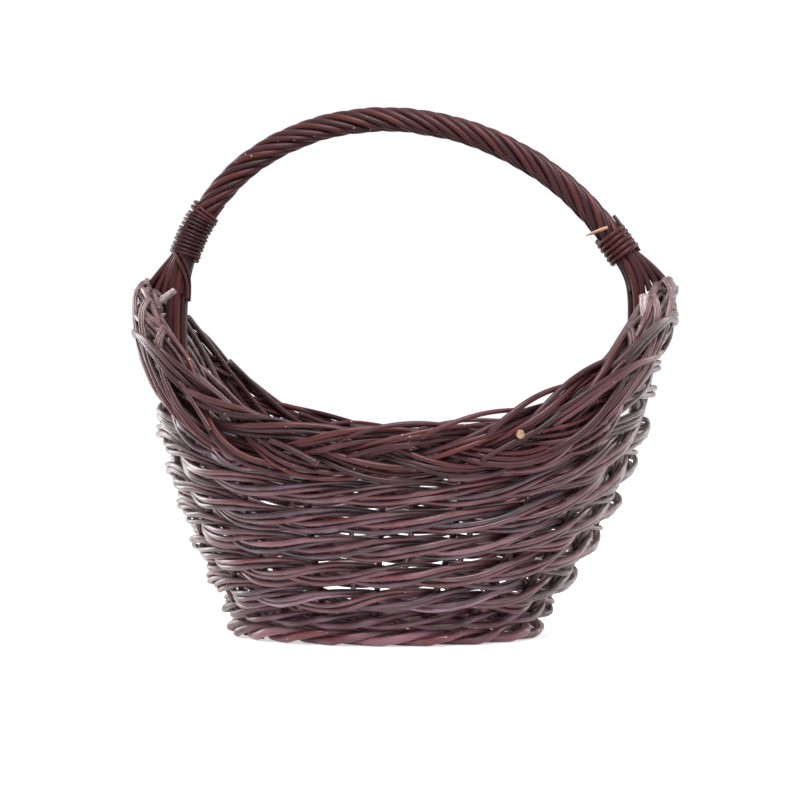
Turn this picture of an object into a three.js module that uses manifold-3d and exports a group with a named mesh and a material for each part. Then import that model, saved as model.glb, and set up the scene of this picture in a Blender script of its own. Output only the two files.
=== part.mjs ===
// A woven firewood basket: sides of doubled rods waled round uprights, a plaited border that climbs to
// both ends, a roped bow handle lashed at each foot, and a base of pierced sticks. Millimetres, Z up.
import * as THREE from 'three';
import Module from 'manifold-3d';
import { mergeVertices } from 'three/addons/utils/BufferGeometryUtils.js';

// Rods
const STAKES_PER_SIDE = 10;
const STAKE_DIAMETER = 5.6;
const FOOT_ROD_DIAMETER = 7.6;
const UPSETT_ROD_DIAMETER = 5.6;
const WALE_ROD_DIAMETER = 5.2;
const BORDER_ROD_DIAMETER = 4.8;
const CLEARANCE = 0.4;
const END_GAP = 3;

// Basket
const BASE_LENGTH = 250;
const BASE_WIDTH = 182;
const RIM_LENGTH = 440;
const RIM_WIDTH = 314;
const RIM_OFFSET = 17;
const FLARE_SWEEP = THREE.MathUtils.degToRad(90);
const FLARE_EARLINESS = 0.85;
const WALE_BANDS = 5;
const BAND_GAP = 1.2;
const UPSETT_GAP = 3;
const END_LIFT = 0.45;
const BORDER_END_HEIGHT = 128;
const END_SHARPNESS = 3.4;
const BORDER_RODS = 2;
const BORDER_LENGTHS = 3;
const PLAIT_STRANDS = 5;
const PLAIT_REPEATS = 5;
const PACKING_GAP = 1;

// Handle
const HANDLE_HEIGHT = 464;
const HANDLE_ARC = THREE.MathUtils.degToRad(72);
const HANDLE_APEX_OFFSET = -20;
const HANDLE_FOOT_DEPTH = 75;
const HANDLE_CORE_DIAMETER = 8;
const ROPING_ROD_DIAMETER = 5.4;
const ROPING_PAIRS = 4;
const ROPING_LAY_LENGTH = 130;
const OUTER_ROD_LEAN = THREE.MathUtils.degToRad(30);
const LEFT_LASHING_DIAMETER = 2.7;
const LEFT_LASHING_TURNS = 11;
const RIGHT_LASHING_DIAMETER = 3.8;
const RIGHT_LASHING_TURNS = 5;
const LASHING_GAP = 0.85;
const LASHING_HEIGHT = 22;

// Base
const LONG_STICK_DIAMETER = 5.6;
const CROSS_STICK_DIAMETER = 9;
const CROSS_STICKS = 3;
const CROSS_STICK_SPACING = 52;
const BASE_WEAVER_DIAMETER = 5;
const BASE_WEAVER_GAP = 1.6;

// A three-strand wale repeats over three uprights; each row is half an upright's spacing further on.
const WALE_PATTERN = [
  { out: -1, up: 0, float: 0 },
  { out: 0, up: -1, float: 0 },
  { out: 1, up: -1, float: 0 },
  { out: 1, up: 0, float: 1 },
  { out: 1, up: 1, float: 0 },
  { out: 0, up: 1, float: 0 },
];
const STRANDS = 3;
const FLOAT_SHARE = 0.7;
const stakeCount = 2 * STAKES_PER_SIDE;

// Heights at the middle of the long sides, stacked from the ground up
const ROD_SIDES = 5;
const footFlat = (Math.cos(Math.PI / ROD_SIDES) * FOOT_ROD_DIAMETER) / 2;
const footHalfRise = (FOOT_ROD_DIAMETER + CLEARANCE) / 2;
const footLevel = footFlat + footHalfRise;
const footTop = footLevel + footHalfRise + FOOT_ROD_DIAMETER / 2;
const upsettHalfRise = (UPSETT_ROD_DIAMETER + CLEARANCE) / 2;
const upsettLevel = footTop + UPSETT_GAP + upsettHalfRise + UPSETT_ROD_DIAMETER / 2;
const upsettTop = upsettLevel + upsettHalfRise + UPSETT_ROD_DIAMETER / 2;
const pairHeight = 2 * WALE_ROD_DIAMETER;
const waleHalfRise = (pairHeight + CLEARANCE) / 2;
const bandHalfHeight = waleHalfRise + pairHeight / 2;
const bandLevels = Array.from({ length: WALE_BANDS }, (_, band) =>
  upsettTop + BAND_GAP + bandHalfHeight + band * (2 * bandHalfHeight + BAND_GAP));
const bandTopLevel = bandLevels[WALE_BANDS - 1] + bandHalfHeight;

// The plait keeps its strands apart with this depth and this swing
const PLAIT_DEPTH_SHARE = 1.15;
const PLAIT_SWING_SHARE = 1.65;
const strandWidth = BORDER_RODS * BORDER_ROD_DIAMETER;
const plaitDepth = PLAIT_DEPTH_SHARE * (BORDER_ROD_DIAMETER + CLEARANCE);
const plaitSwing = PLAIT_SWING_SHARE * (strandWidth + CLEARANCE);
const borderHalfHeight = plaitSwing + strandWidth / 2;
const borderOut = STAKE_DIAMETER / 2 + CLEARANCE + plaitDepth + BORDER_ROD_DIAMETER / 2;
const borderMidHeight = bandTopLevel + BAND_GAP + borderHalfHeight;

const stakeStep = (2 * Math.PI) / stakeCount;
const endShare = (theta) => Math.abs(Math.cos(theta)) ** END_SHARPNESS;
const lift = (theta) => 1 + END_LIFT * endShare(theta);
const borderHeight = (theta) => borderMidHeight + BORDER_END_HEIGHT * endShare(theta);
const levelAt = (theta, z) => footTop + (z - footTop) / lift(theta);
const peakLevel = levelAt(0, borderHeight(0));

// Wall
// The uprights stand straight in the foot and lean out from its top, most of all low down.
function flareShare(level) {
  const climbed = Math.max(0, level - footTop) / (peakLevel - footTop);
  return Math.sin(FLARE_SWEEP * climbed ** FLARE_EARLINESS);
}

function wallPoint(theta, level) {
  const flare = flareShare(level);
  const halfLength = THREE.MathUtils.lerp(BASE_LENGTH, RIM_LENGTH, flare) / 2;
  const halfWidth = THREE.MathUtils.lerp(BASE_WIDTH, RIM_WIDTH, flare) / 2;
  const z = level < footTop ? level : footTop + (level - footTop) * lift(theta);
  return new THREE.Vector3(
    RIM_OFFSET * flare + halfLength * Math.cos(theta), halfWidth * Math.sin(theta), z);
}

const PROBE = 1e-3;

// The wall's own axes at a point: along the round, out of the basket and up the uprights.
function wallFrame(theta, level) {
  const along = wallPoint(theta + PROBE, level).sub(wallPoint(theta - PROBE, level)).normalize();
  const climb = wallPoint(theta, level + PROBE).sub(wallPoint(theta, level - PROBE)).normalize();
  const out = along.clone().cross(climb).normalize();
  return { point: wallPoint(theta, level), along, out, climb };
}

function onWall(theta, level, out, up) {
  const frame = wallFrame(theta, level);
  return frame.point.addScaledVector(frame.out, out).addScaledVector(frame.climb, up);
}

// Solids
// A closed solid through rings of points that all run the same way round. In a twisted solid the faces
// split along the twist.
function loft(rings, twisted = false) {
  const sides = rings[0].length;
  const index = [];
  for (let ring = 0; ring + 1 < rings.length; ring += 1) {
    for (let side = 0; side < sides; side += 1) {
      const next = (side + 1) % sides;
      const a = ring * sides + side;
      const b = ring * sides + next;
      if (twisted) index.push(a, b, b + sides, a, b + sides, a + sides);
      else index.push(a, b, a + sides, b, b + sides, a + sides);
    }
  }
  const last = (rings.length - 1) * sides;
  for (let side = 1; side + 1 < sides; side += 1) {
    index.push(0, side + 1, side, last, last + side, last + side + 1);
  }
  const geometry = new THREE.BufferGeometry().setFromPoints(rings.flat());
  geometry.setIndex(index);
  geometry.computeVertexNormals();
  return geometry;
}

function polygon(sides, diameter, turn = 0) {
  return Array.from({ length: sides }, (_, side) => {
    const angle = turn + (2 * Math.PI * side) / sides;
    return [(Math.cos(angle) * diameter) / 2, (Math.sin(angle) * diameter) / 2];
  });
}

// Rods lying side by side, as one six-sided outline.
function bundleOutline(thickness, width) {
  const half = thickness / 2;
  const shoulder = width / 2 - half;
  return [[half, -shoulder], [half, shoulder], [0, width / 2],
    [-half, shoulder], [-half, -shoulder], [0, -width / 2]];
}

function ringOf(outline, centre, across, up) {
  return outline.map(([a, b]) => centre.clone().addScaledVector(across, a).addScaledVector(up, b));
}

// A rod of this outline through stations that each hold a centre, an across axis and an up axis.
function sweep(stations, outline) {
  const heading = stations[1].centre.clone().sub(stations[0].centre);
  const facing = stations[0].across.clone().cross(stations[0].up).dot(heading);
  const ordered = facing > 0 ? outline : [...outline].reverse();
  return loft(stations.map(({ centre, across, up }) => ringOf(ordered, centre, across, up)));
}

// The same for a path that turns right round: each station's across axis is square to the path.
function sweepAlong(path, outline) {
  const stations = path.map(({ centre, up }, step) => {
    const ahead = path[Math.min(step + 1, path.length - 1)].centre;
    const behind = path[Math.max(step - 1, 0)].centre;
    const heading = ahead.clone().sub(behind).normalize();
    return { centre, across: up.clone().cross(heading).normalize(), up };
  });
  return sweep(stations, outline);
}

function straightRod(start, end, sides, diameter, turn = 0) {
  const heading = end.clone().sub(start).normalize();
  const up = new THREE.Vector3(0, 0, 1);
  const across = up.clone().cross(heading);
  return sweep([{ centre: start, across, up }, { centre: end, across, up }],
    polygon(sides, diameter, turn));
}

// Finishes
const finish = (color, roughness) => ({ color, roughness, metalness: 0 });
const FINISHES = {
  stake: finish(0x45282a, 0.62),
  foot: finish(0x64434a, 0.6),
  wale: finish(0x66454c, 0.55),
  border: finish(0x5a3735, 0.52),
  handle: finish(0x52302f, 0.45),
  lashing: finish(0x4e2e31, 0.5),
  base: finish(0x5e4440, 0.68),
};

function addMesh(group, name, geometry, look) {
  const mesh = new THREE.Mesh(geometry, new THREE.MeshStandardMaterial(look));
  mesh.name = name;
  group.add(mesh);
}

// Weaving
// Three strands that start one after another each run on to where one of them starts.
function strandLength(strokes, strand) {
  return STRANDS * Math.ceil((strokes - strand) / STRANDS);
}

// One wale strand from behind its first upright round to where the next strand starts.
function waleStrand(level, firstStake, strand, halfRise, thickness, outline) {
  const reach = (STAKE_DIAMETER + thickness) / 2 + CLEARANCE;
  const halfSteps = 2 * strandLength(stakeCount, strand);
  const spacing = wallPoint(0, level).distanceTo(wallPoint(stakeStep, level));
  const trim = END_GAP / spacing;
  const place = (halfStep) => {
    const before = WALE_PATTERN[Math.floor(halfStep) % WALE_PATTERN.length];
    const after = WALE_PATTERN[Math.ceil(halfStep) % WALE_PATTERN.length];
    const share = halfStep - Math.floor(halfStep);
    const out = THREE.MathUtils.lerp(before.out, after.out, share) * reach;
    const float = THREE.MathUtils.lerp(before.float, after.float, share) * FLOAT_SHARE * thickness;
    const up = THREE.MathUtils.lerp(before.up, after.up, share) * halfRise;
    const theta = (firstStake + strand + halfStep / 2) * stakeStep;
    const frame = wallFrame(theta, level);
    return { centre: onWall(theta, level, out + float, up), across: frame.out, up: frame.climb };
  };
  const steps = [trim];
  for (let halfStep = 1; halfStep < halfSteps; halfStep += 1) steps.push(halfStep);
  steps.push(halfSteps - trim);
  return sweep(steps.map(place), outline);
}

function addWale(group, name, level, firstStake, halfRise, thickness, outline, look) {
  for (let strand = 0; strand < STRANDS; strand += 1) {
    addMesh(group, `${name}_strand_${strand + 1}`,
      waleStrand(level, firstStake, strand, halfRise, thickness, outline), look);
  }
}

// The border's own axes: along the rim, out of the basket and square to both.
function rimFrame(theta) {
  const rim = (angle) => wallPoint(angle, levelAt(angle, borderHeight(angle)));
  const along = rim(theta + PROBE).sub(rim(theta - PROBE)).normalize();
  const { out } = wallFrame(theta, levelAt(theta, borderHeight(theta)));
  const up = out.clone().cross(along).normalize();
  return { point: rim(theta), out, up, along };
}

const PLAIT_STEPS_PER_STROKE = 2;
const PLAIT_START = -Math.PI / 4;
const borderStrokes = PLAIT_STRANDS * PLAIT_REPEATS - 1;

// One length of the plait. The rim holds one stroke less than whole repeats, so a bundle that runs on
// round the rim takes each strand's place in turn, and the lengths follow each other end to end.
function borderLength(count) {
  const strokeStep = (2 * Math.PI) / borderStrokes;
  const strokes = (PLAIT_STRANDS * borderStrokes) / BORDER_LENGTHS;
  const strokeWidth = rimFrame(0).point.distanceTo(rimFrame(strokeStep).point);
  const trim = END_GAP / (2 * strokeWidth);
  const steps = Math.ceil(PLAIT_STEPS_PER_STROKE * strokes);
  const stations = [];
  for (let step = 0; step <= steps; step += 1) {
    const turn = count * strokes + THREE.MathUtils.clamp((strokes * step) / steps, trim, strokes - trim);
    const phase = PLAIT_START + (2 * Math.PI * turn) / PLAIT_STRANDS;
    const { point, out, up } = rimFrame(Math.PI / 2 + turn * strokeStep);
    const centre = point.addScaledVector(out, borderOut + plaitDepth * Math.sin(2 * phase))
      .addScaledVector(up, plaitSwing * Math.sin(phase));
    stations.push({ centre, across: out, up });
  }
  return sweep(stations, bundleOutline(BORDER_ROD_DIAMETER, strandWidth));
}

// Height of the space between the top band and the border at an upright
const packingFloor = (theta) => footTop + (bandTopLevel - footTop) * lift(theta);

function packingRoom(theta) {
  const { along } = rimFrame(theta);
  const tilt = Math.sqrt(1 - along.z * along.z);
  return borderHeight(theta) - (borderHalfHeight + PACKING_GAP) / tilt - packingFloor(theta);
}

const TURN_SHARE = 0.7;
const TURN_STEPS = 3;
const TURN_ROOM = 0.35;

// A doubled rod woven to and fro on the end uprights, each row reaching as far as the space allows
// its turn round the last upright.
function endPacking(endStake) {
  const rowPitch = pairHeight + CLEARANCE + PACKING_GAP;
  const reach = (STAKE_DIAMETER + WALE_ROD_DIAMETER) / 2 + 2 * CLEARANCE;
  const path = [];
  const put = (stake, out, along, row) => {
    const theta = (endStake + stake) * stakeStep;
    const level = levelAt(theta, packingFloor(theta) + (row + 0.5) * rowPitch);
    const frame = wallFrame(theta, level);
    const centre = onWall(theta, level, out * reach, 0).addScaledVector(frame.along, along * reach);
    path.push({ centre, up: frame.climb });
  };
  const rowReach = (row) => {
    let stake = 0;
    const fits = (count) =>
      (row + 1) * rowPitch < packingRoom((endStake + count + TURN_ROOM) * stakeStep);
    while (fits(stake + 1)) stake += 1;
    return stake;
  };
  let direction = 1;
  let stake = -rowReach(0);
  let side = 1;
  for (let row = 0; rowReach(row) > 0; row += 1) {
    const goal = direction * rowReach(row);
    put(stake, side, 0, row);
    while (stake !== goal) {
      stake += direction;
      side = -side;
      put(stake, side, 0, row);
    }
    if (rowReach(row + 1) > 0) {
      put(stake, side * TURN_SHARE, direction, row + 1 / TURN_STEPS);
      put(stake, -side * TURN_SHARE, direction, row + 2 / TURN_STEPS);
    }
    side = -side;
    direction = -direction;
  }
  return sweepAlong(path, bundleOutline(WALE_ROD_DIAMETER, pairHeight));
}

const sides = new THREE.Group();
sides.name = 'sides';
const pairOutline = bundleOutline(WALE_ROD_DIAMETER, pairHeight);
addWale(sides, 'foot_wale', footLevel, 0, footHalfRise, FOOT_ROD_DIAMETER,
  polygon(ROD_SIDES, FOOT_ROD_DIAMETER, Math.PI / 2), FINISHES.foot);
addWale(sides, 'upsett_wale', upsettLevel, 1, upsettHalfRise, UPSETT_ROD_DIAMETER,
  polygon(ROD_SIDES, UPSETT_ROD_DIAMETER), FINISHES.foot);
bandLevels.forEach((level, band) => {
  addWale(sides, `wale_${band + 1}`, level, 2 * band, waleHalfRise, WALE_ROD_DIAMETER,
    pairOutline, FINISHES.wale);
});
addMesh(sides, 'end_packing_right', endPacking(0), FINISHES.wale);
addMesh(sides, 'end_packing_left', endPacking(STAKES_PER_SIDE), FINISHES.wale);

// Uprights
const stakeTop = (theta) => levelAt(theta, borderHeight(theta) - plaitSwing / 2);

function stake(theta) {
  const levels = [CLEARANCE, footTop, upsettLevel, ...bandLevels];
  const above = stakeTop(theta) - bandTopLevel;
  const extra = Math.ceil(above / (2 * bandHalfHeight));
  for (let step = 1; step <= extra; step += 1) levels.push(bandTopLevel + (above * step) / extra);
  const stations = levels.map((level) => {
    const { point, along, climb } = wallFrame(theta, level);
    return { centre: point, across: along, up: climb.cross(along).normalize() };
  });
  return sweep(stations, polygon(ROD_SIDES, STAKE_DIAMETER));
}

for (let count = 0; count < stakeCount; count += 1) {
  addMesh(sides, `stake_${count + 1}`, stake(count * stakeStep), FINISHES.stake);
}

// Border
const border = new THREE.Group();
border.name = 'border';
for (let count = 0; count < BORDER_LENGTHS; count += 1) {
  addMesh(border, `border_strand_${count + 1}`, borderLength(count), FINISHES.border);
}

// Handle
const BOW_FOOT_STEPS = 3;
const BOW_ARC_STEPS = 14;
const BOW_FOOT_SECTIONS = 4;
const ROPING_STEPS_PER_TURN = 7;
const OUTER_SHARE = 0.25;
const ropingShoulder = ROPING_ROD_DIAMETER / (HANDLE_CORE_DIAMETER + ROPING_ROD_DIAMETER);
const ropingCut = Math.cos(ropingShoulder) * Math.cos(Math.PI / ROPING_STEPS_PER_TURN);
const ropingRadius = (HANDLE_CORE_DIAMETER / 2 + CLEARANCE) / ropingCut + ROPING_ROD_DIAMETER / 2;
const handleRadius = ropingRadius + ROPING_ROD_DIAMETER / 2;
const weaveDepth = STAKE_DIAMETER / 2 + 2 * CLEARANCE + WALE_ROD_DIAMETER;
const footReach = ropingRadius * Math.sin(ROPING_ROD_DIAMETER / ropingRadius);
const footInset = weaveDepth + footReach;
const springInset = weaveDepth + handleRadius - STAKE_DIAMETER / 2;

function footPoint(theta, z, inset) {
  return onWall(theta, levelAt(theta, z), -inset, 0);
}

// The feet climb inside the weave and spring into the arc at the border's top.
function handleCurve() {
  const joinHeight = borderHeight(0);
  const springHeight = joinHeight + borderHalfHeight;
  const right = footPoint(0, springHeight, springInset);
  const left = footPoint(Math.PI, springHeight, springInset);
  const rise = (HANDLE_HEIGHT - handleRadius - right.z) / (1 - Math.cos(HANDLE_ARC));
  const footHeights = Array.from({ length: BOW_FOOT_STEPS }, (_, step) =>
    joinHeight - HANDLE_FOOT_DEPTH * (1 - step / BOW_FOOT_STEPS));
  const arc = Array.from({ length: BOW_ARC_STEPS + 1 }, (_, step) => {
    const angle = HANDLE_ARC * ((2 * step) / BOW_ARC_STEPS - 1);
    const share = Math.sin(angle) / Math.sin(HANDLE_ARC);
    const crown = (Math.cos(angle) - Math.cos(HANDLE_ARC)) / (1 - Math.cos(HANDLE_ARC));
    const x = THREE.MathUtils.lerp(left.x, right.x, (1 + share) / 2) + HANDLE_APEX_OFFSET * crown;
    return new THREE.Vector3(x, 0, right.z + rise * (Math.cos(angle) - Math.cos(HANDLE_ARC)));
  });
  return new THREE.CatmullRomCurve3([
    ...footHeights.map((z) => footPoint(Math.PI, z, footInset)),
    ...arc,
    ...footHeights.reverse().map((z) => footPoint(0, z, footInset)),
  ], false, 'centripetal');
}

const bow = handleCurve();
const bowLength = bow.getLength();
const SIDEWAYS = new THREE.Vector3(0, 1, 0);

// The bow's axes at a distance from its left foot: inward is towards the inside of the bow, and sideways
// is square to the bow's own plane.
function bowFrame(distance) {
  const share = THREE.MathUtils.clamp(distance / bowLength, 0, 1);
  const heading = bow.getTangentAt(share);
  return { centre: bow.getPointAt(share), heading, inward: SIDEWAYS.clone().cross(heading) };
}

// Distances along the bow: the border's top, the lower end of a lashing and the stations of its rods
const borderTopDistance = bow.getLengths(bow.points.length - 1)[BOW_FOOT_STEPS];
const lashingStart = borderTopDistance + LASHING_HEIGHT;
const twistedLength = bowLength - 2 * lashingStart;
const ropingTurns = Math.max(1, Math.round(twistedLength / ROPING_LAY_LENGTH));
const split = (start, length, count) =>
  Array.from({ length: count }, (_, step) => start + (length * step) / count);
const bowDistances = [
  ...split(0, lashingStart, BOW_FOOT_SECTIONS),
  ...split(lashingStart, twistedLength, ropingTurns * ROPING_STEPS_PER_TURN),
  ...split(bowLength - lashingStart, lashingStart, BOW_FOOT_SECTIONS),
  bowLength,
];

function core() {
  const stations = bowDistances.map((distance) => {
    const { centre, inward } = bowFrame(distance);
    return { centre, across: inward, up: SIDEWAYS };
  });
  return sweep(stations, polygon(ROD_SIDES, HANDLE_CORE_DIAMETER));
}

// Two roping rods side by side, twisted round the bow between the lashings and straight below them.
// The pairs on the outside, further from the core than OUTER_SHARE of the roping's radius, lean out there
// and stop over the border; the others run down inside.
function ropingPair(pair) {
  const outline = bundleOutline(ROPING_ROD_DIAMETER, 2 * ROPING_ROD_DIAMETER);
  const footAngle = (2 * Math.PI * pair) / ROPING_PAIRS;
  const outer = Math.cos(footAngle) < -OUTER_SHARE;
  const first = outer ? borderTopDistance + CLEARANCE : 0;
  const between = bowDistances.filter((distance) => distance > first && distance < bowLength - first);
  const rings = [first, ...between, bowLength - first].map((distance) => {
    const below = Math.max(0, lashingStart - Math.min(distance, bowLength - distance));
    const lean = outer ? Math.tan(OUTER_ROD_LEAN) * below : 0;
    const leanTo = new THREE.Vector3(distance < bowLength / 2 ? -lean : lean, 0, 0);
    const share = THREE.MathUtils.clamp((distance - lashingStart) / twistedLength, 0, 1);
    const angle = footAngle + 2 * Math.PI * ropingTurns * share;
    const { centre, inward } = bowFrame(distance);
    return outline.map(([radial, around]) => {
      const swing = angle + around / ropingRadius;
      const radius = ropingRadius + radial;
      return centre.clone().add(leanTo).addScaledVector(inward, radius * Math.cos(swing))
        .addScaledVector(SIDEWAYS, radius * Math.sin(swing));
    });
  });
  return loft(rings, true);
}

const LASHING_STEPS = 10;

// A thin rod wound round the roping, its two ends running straight off the last turn.
function lashing(name, start, turns, diameter) {
  const pitch = diameter + LASHING_GAP;
  const radius = (handleRadius + CLEARANCE + diameter / 2) / Math.cos(Math.PI / LASHING_STEPS);
  const centres = [];
  for (let step = 0; step <= turns * LASHING_STEPS; step += 1) {
    const angle = (2 * Math.PI * step) / LASHING_STEPS;
    const { centre, inward } = bowFrame(start + (pitch * step) / LASHING_STEPS);
    centres.push(centre.addScaledVector(inward, radius * Math.cos(angle))
      .addScaledVector(SIDEWAYS, radius * Math.sin(angle)));
  }
  const runOff = (end, beside) => end.clone().add(end.clone().sub(beside).setLength(diameter));
  const path = [runOff(centres[0], centres[1]), ...centres,
    runOff(centres[centres.length - 1], centres[centres.length - 2])];
  const stations = path.map((centre, step) => {
    const ahead = path[Math.min(step + 1, path.length - 1)];
    const behind = path[Math.max(step - 1, 0)];
    const heading = ahead.clone().sub(behind).normalize();
    const wound = THREE.MathUtils.clamp(step - 1, 0, turns * LASHING_STEPS);
    const along = bowFrame(start + (pitch * wound) / LASHING_STEPS).heading;
    const across = along.clone().cross(heading).normalize();
    return { centre, across, up: heading.clone().cross(across).normalize() };
  });
  let least = Infinity;
  centres.forEach((point, first) => {
    for (let second = first + LASHING_STEPS / 2; second < centres.length; second += 1) {
      least = Math.min(least, point.distanceTo(centres[second]) - diameter);
    }
  });
  console.log(`${name}: least gap to itself ${least.toFixed(2)} mm`);
  return sweep(stations, polygon(ROD_SIDES, diameter));
}

const handle = new THREE.Group();
handle.name = 'handle';
addMesh(handle, 'handle_bow', core(), FINISHES.handle);
for (let pair = 0; pair < ROPING_PAIRS; pair += 1) {
  addMesh(handle, `roping_pair_${pair + 1}`, ropingPair(pair), FINISHES.handle);
}
const rightLashingLength = RIGHT_LASHING_TURNS * (RIGHT_LASHING_DIAMETER + LASHING_GAP);
addMesh(handle, 'lashing_left',
  lashing('lashing_left', lashingStart, LEFT_LASHING_TURNS, LEFT_LASHING_DIAMETER), FINISHES.lashing);
addMesh(handle, 'lashing_right',
  lashing('lashing_right', bowLength - lashingStart - rightLashingLength, RIGHT_LASHING_TURNS,
    RIGHT_LASHING_DIAMETER), FINISHES.lashing);

// Base
const base = new THREE.Group();
base.name = 'base';
const wasm = await Module();
wasm.setup();

function toManifold(geometry) {
  const bare = geometry.clone();
  bare.deleteAttribute('normal');
  const merged = mergeVertices(bare);
  return new wasm.Manifold(new wasm.Mesh({
    numProp: 3,
    vertProperties: new Float32Array(merged.attributes.position.array),
    triVerts: new Uint32Array(merged.index.array),
  }));
}

function toGeometry(solid) {
  const mesh = solid.getMesh();
  const geometry = new THREE.BufferGeometry();
  geometry.setAttribute('position', new THREE.BufferAttribute(mesh.vertProperties, 3));
  geometry.setIndex(new THREE.BufferAttribute(mesh.triVerts, 1));
  return geometry;
}

const baseFloor = footLevel + FOOT_ROD_DIAMETER / 2;
const baseLevel = (baseFloor + upsettLevel - UPSETT_ROD_DIAMETER / 2) / 2;
const LONG_STICK_SIDES = 6;
const CROSS_STICK_SIDES = 8;
const SLATH_STICKS = 3;
const longStickOffset = (STAKE_DIAMETER + LONG_STICK_DIAMETER) / 2 + CLEARANCE;
const baseInset = STAKE_DIAMETER / 2 + 2 * CLEARANCE + FOOT_ROD_DIAMETER;
const baseHalfLength = BASE_LENGTH / 2 - baseInset;
const baseHalfWidth = BASE_WIDTH / 2 - baseInset;

for (const side of [-1, 1]) {
  const start = new THREE.Vector3(-BASE_LENGTH / 2, side * longStickOffset, baseLevel);
  const end = new THREE.Vector3(BASE_LENGTH / 2, side * longStickOffset, baseLevel);
  addMesh(base, `base_long_stick_${side < 0 ? 1 : 2}`,
    straightRod(start, end, LONG_STICK_SIDES, LONG_STICK_DIAMETER), FINISHES.base);
}

const crossPlaces = Array.from({ length: CROSS_STICKS }, (_, count) =>
  (count - (CROSS_STICKS - 1) / 2) * CROSS_STICK_SPACING);
const edgeWidth = (x) => baseHalfWidth * Math.sqrt(1 - (x / baseHalfLength) ** 2);

crossPlaces.forEach((x, count) => {
  const reach = edgeWidth(x);
  const rod = straightRod(new THREE.Vector3(x, -reach, baseLevel), new THREE.Vector3(x, reach, baseLevel),
    CROSS_STICK_SIDES, CROSS_STICK_DIAMETER, Math.PI / CROSS_STICK_SIDES);
  const slotHeight = Math.cos(Math.PI / LONG_STICK_SIDES) * LONG_STICK_DIAMETER + 2 * CLEARANCE;
  const slotWidth = 2 * longStickOffset + LONG_STICK_DIAMETER + 2 * CLEARANCE;
  const slot = new THREE.BoxGeometry(2 * CROSS_STICK_DIAMETER, slotWidth, slotHeight);
  slot.deleteAttribute('uv');
  slot.translate(x, 0, baseLevel);
  addMesh(base, `base_cross_stick_${count + 1}`,
    toGeometry(toManifold(rod).subtract(toManifold(slot))), FINISHES.base);
});

// Places of one round of the base weave: each is a function of the share of the way out to the edge.
function roundPlaces() {
  const lastCross = crossPlaces[crossPlaces.length - 1];
  const endReach = (share) => THREE.MathUtils.lerp(lastCross, baseHalfLength, share);
  const atCross = (x, side, spoke) => ({
    spoke, over: 1, at: (share) => [x, side * share * edgeWidth(x)],
  });
  const atCorner = (sideX, sideY) => ({
    spoke: 0,
    over: 0,
    at: (share) => [
      sideX * THREE.MathUtils.lerp(lastCross, endReach(share), Math.SQRT1_2),
      sideY * Math.SQRT1_2 * share * edgeWidth(lastCross),
    ],
  });
  const atEnd = (sideX, sideY, spoke) => ({
    spoke, over: 1, at: (share) => [sideX * endReach(share), sideY * longStickOffset],
  });
  const far = CROSS_STICKS + 1;
  return [
    atEnd(1, -1, 0), atEnd(1, 1, 0), atCorner(1, 1),
    ...[...crossPlaces].reverse().map((x, count) => atCross(x, 1, count + 1)),
    atCorner(-1, 1), atEnd(-1, 1, far), atEnd(-1, -1, far), atCorner(-1, -1),
    ...crossPlaces.map((x, count) => atCross(x, -1, far + count + 1)),
    atCorner(1, -1),
  ];
}

// One of two rods woven over and under the spokes in turn, a spiral from the slath to the edge.
function baseWeaver(start) {
  const places = roundPlaces();
  const reach = (CROSS_STICK_DIAMETER + BASE_WEAVER_DIAMETER) / 2 + CLEARANCE;
  const slath = SLATH_STICKS * longStickOffset + LONG_STICK_DIAMETER;
  const pitch = BASE_WEAVER_DIAMETER + BASE_WEAVER_GAP;
  const room = baseHalfWidth - BASE_WEAVER_DIAMETER / 2 - slath;
  const rounds = (room / pitch - start) / 2;
  const path = [];
  for (let step = 0; step < rounds * places.length; step += 1) {
    const place = places[step % places.length];
    const outward = slath + pitch * ((2 * step) / places.length + start);
    const [x, y] = place.at(outward / baseHalfWidth);
    const side = (place.spoke + start) % 2 === 0 ? 1 : -1;
    const centre = new THREE.Vector3(x, y, baseLevel + side * place.over * reach);
    path.push({ centre, up: new THREE.Vector3(0, 0, 1) });
  }
  return sweepAlong(path, polygon(ROD_SIDES, BASE_WEAVER_DIAMETER));
}

addMesh(base, 'base_weaver_1', baseWeaver(0), FINISHES.base);
addMesh(base, 'base_weaver_2', baseWeaver(1), FINISHES.base);

// The whole basket stands on the ground with its middle over the origin
const basket = new THREE.Group();
basket.name = 'firewood_basket';
basket.add(base, sides, border, handle);
const extent = new THREE.Box3().setFromObject(basket);
const middle = extent.getCenter(new THREE.Vector3());
basket.position.set(-middle.x, -middle.y, -extent.min.z);

export default basket;
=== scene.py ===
"""Looks of a woven firewood basket.

Every strand of the weave is rebuilt from single round rods of stained willow: doubled rods waled round
the uprights, a plaited border that climbs to both ends, a roped bow handle with two lashings and a base
of pierced sticks. Lengths are millimetres in the weave's own axes until a mesh is made, in metres.
"""
from __future__ import annotations

import logging
import math
from collections.abc import Iterator
from dataclasses import dataclass, field
from enum import Enum
from functools import cached_property

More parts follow.
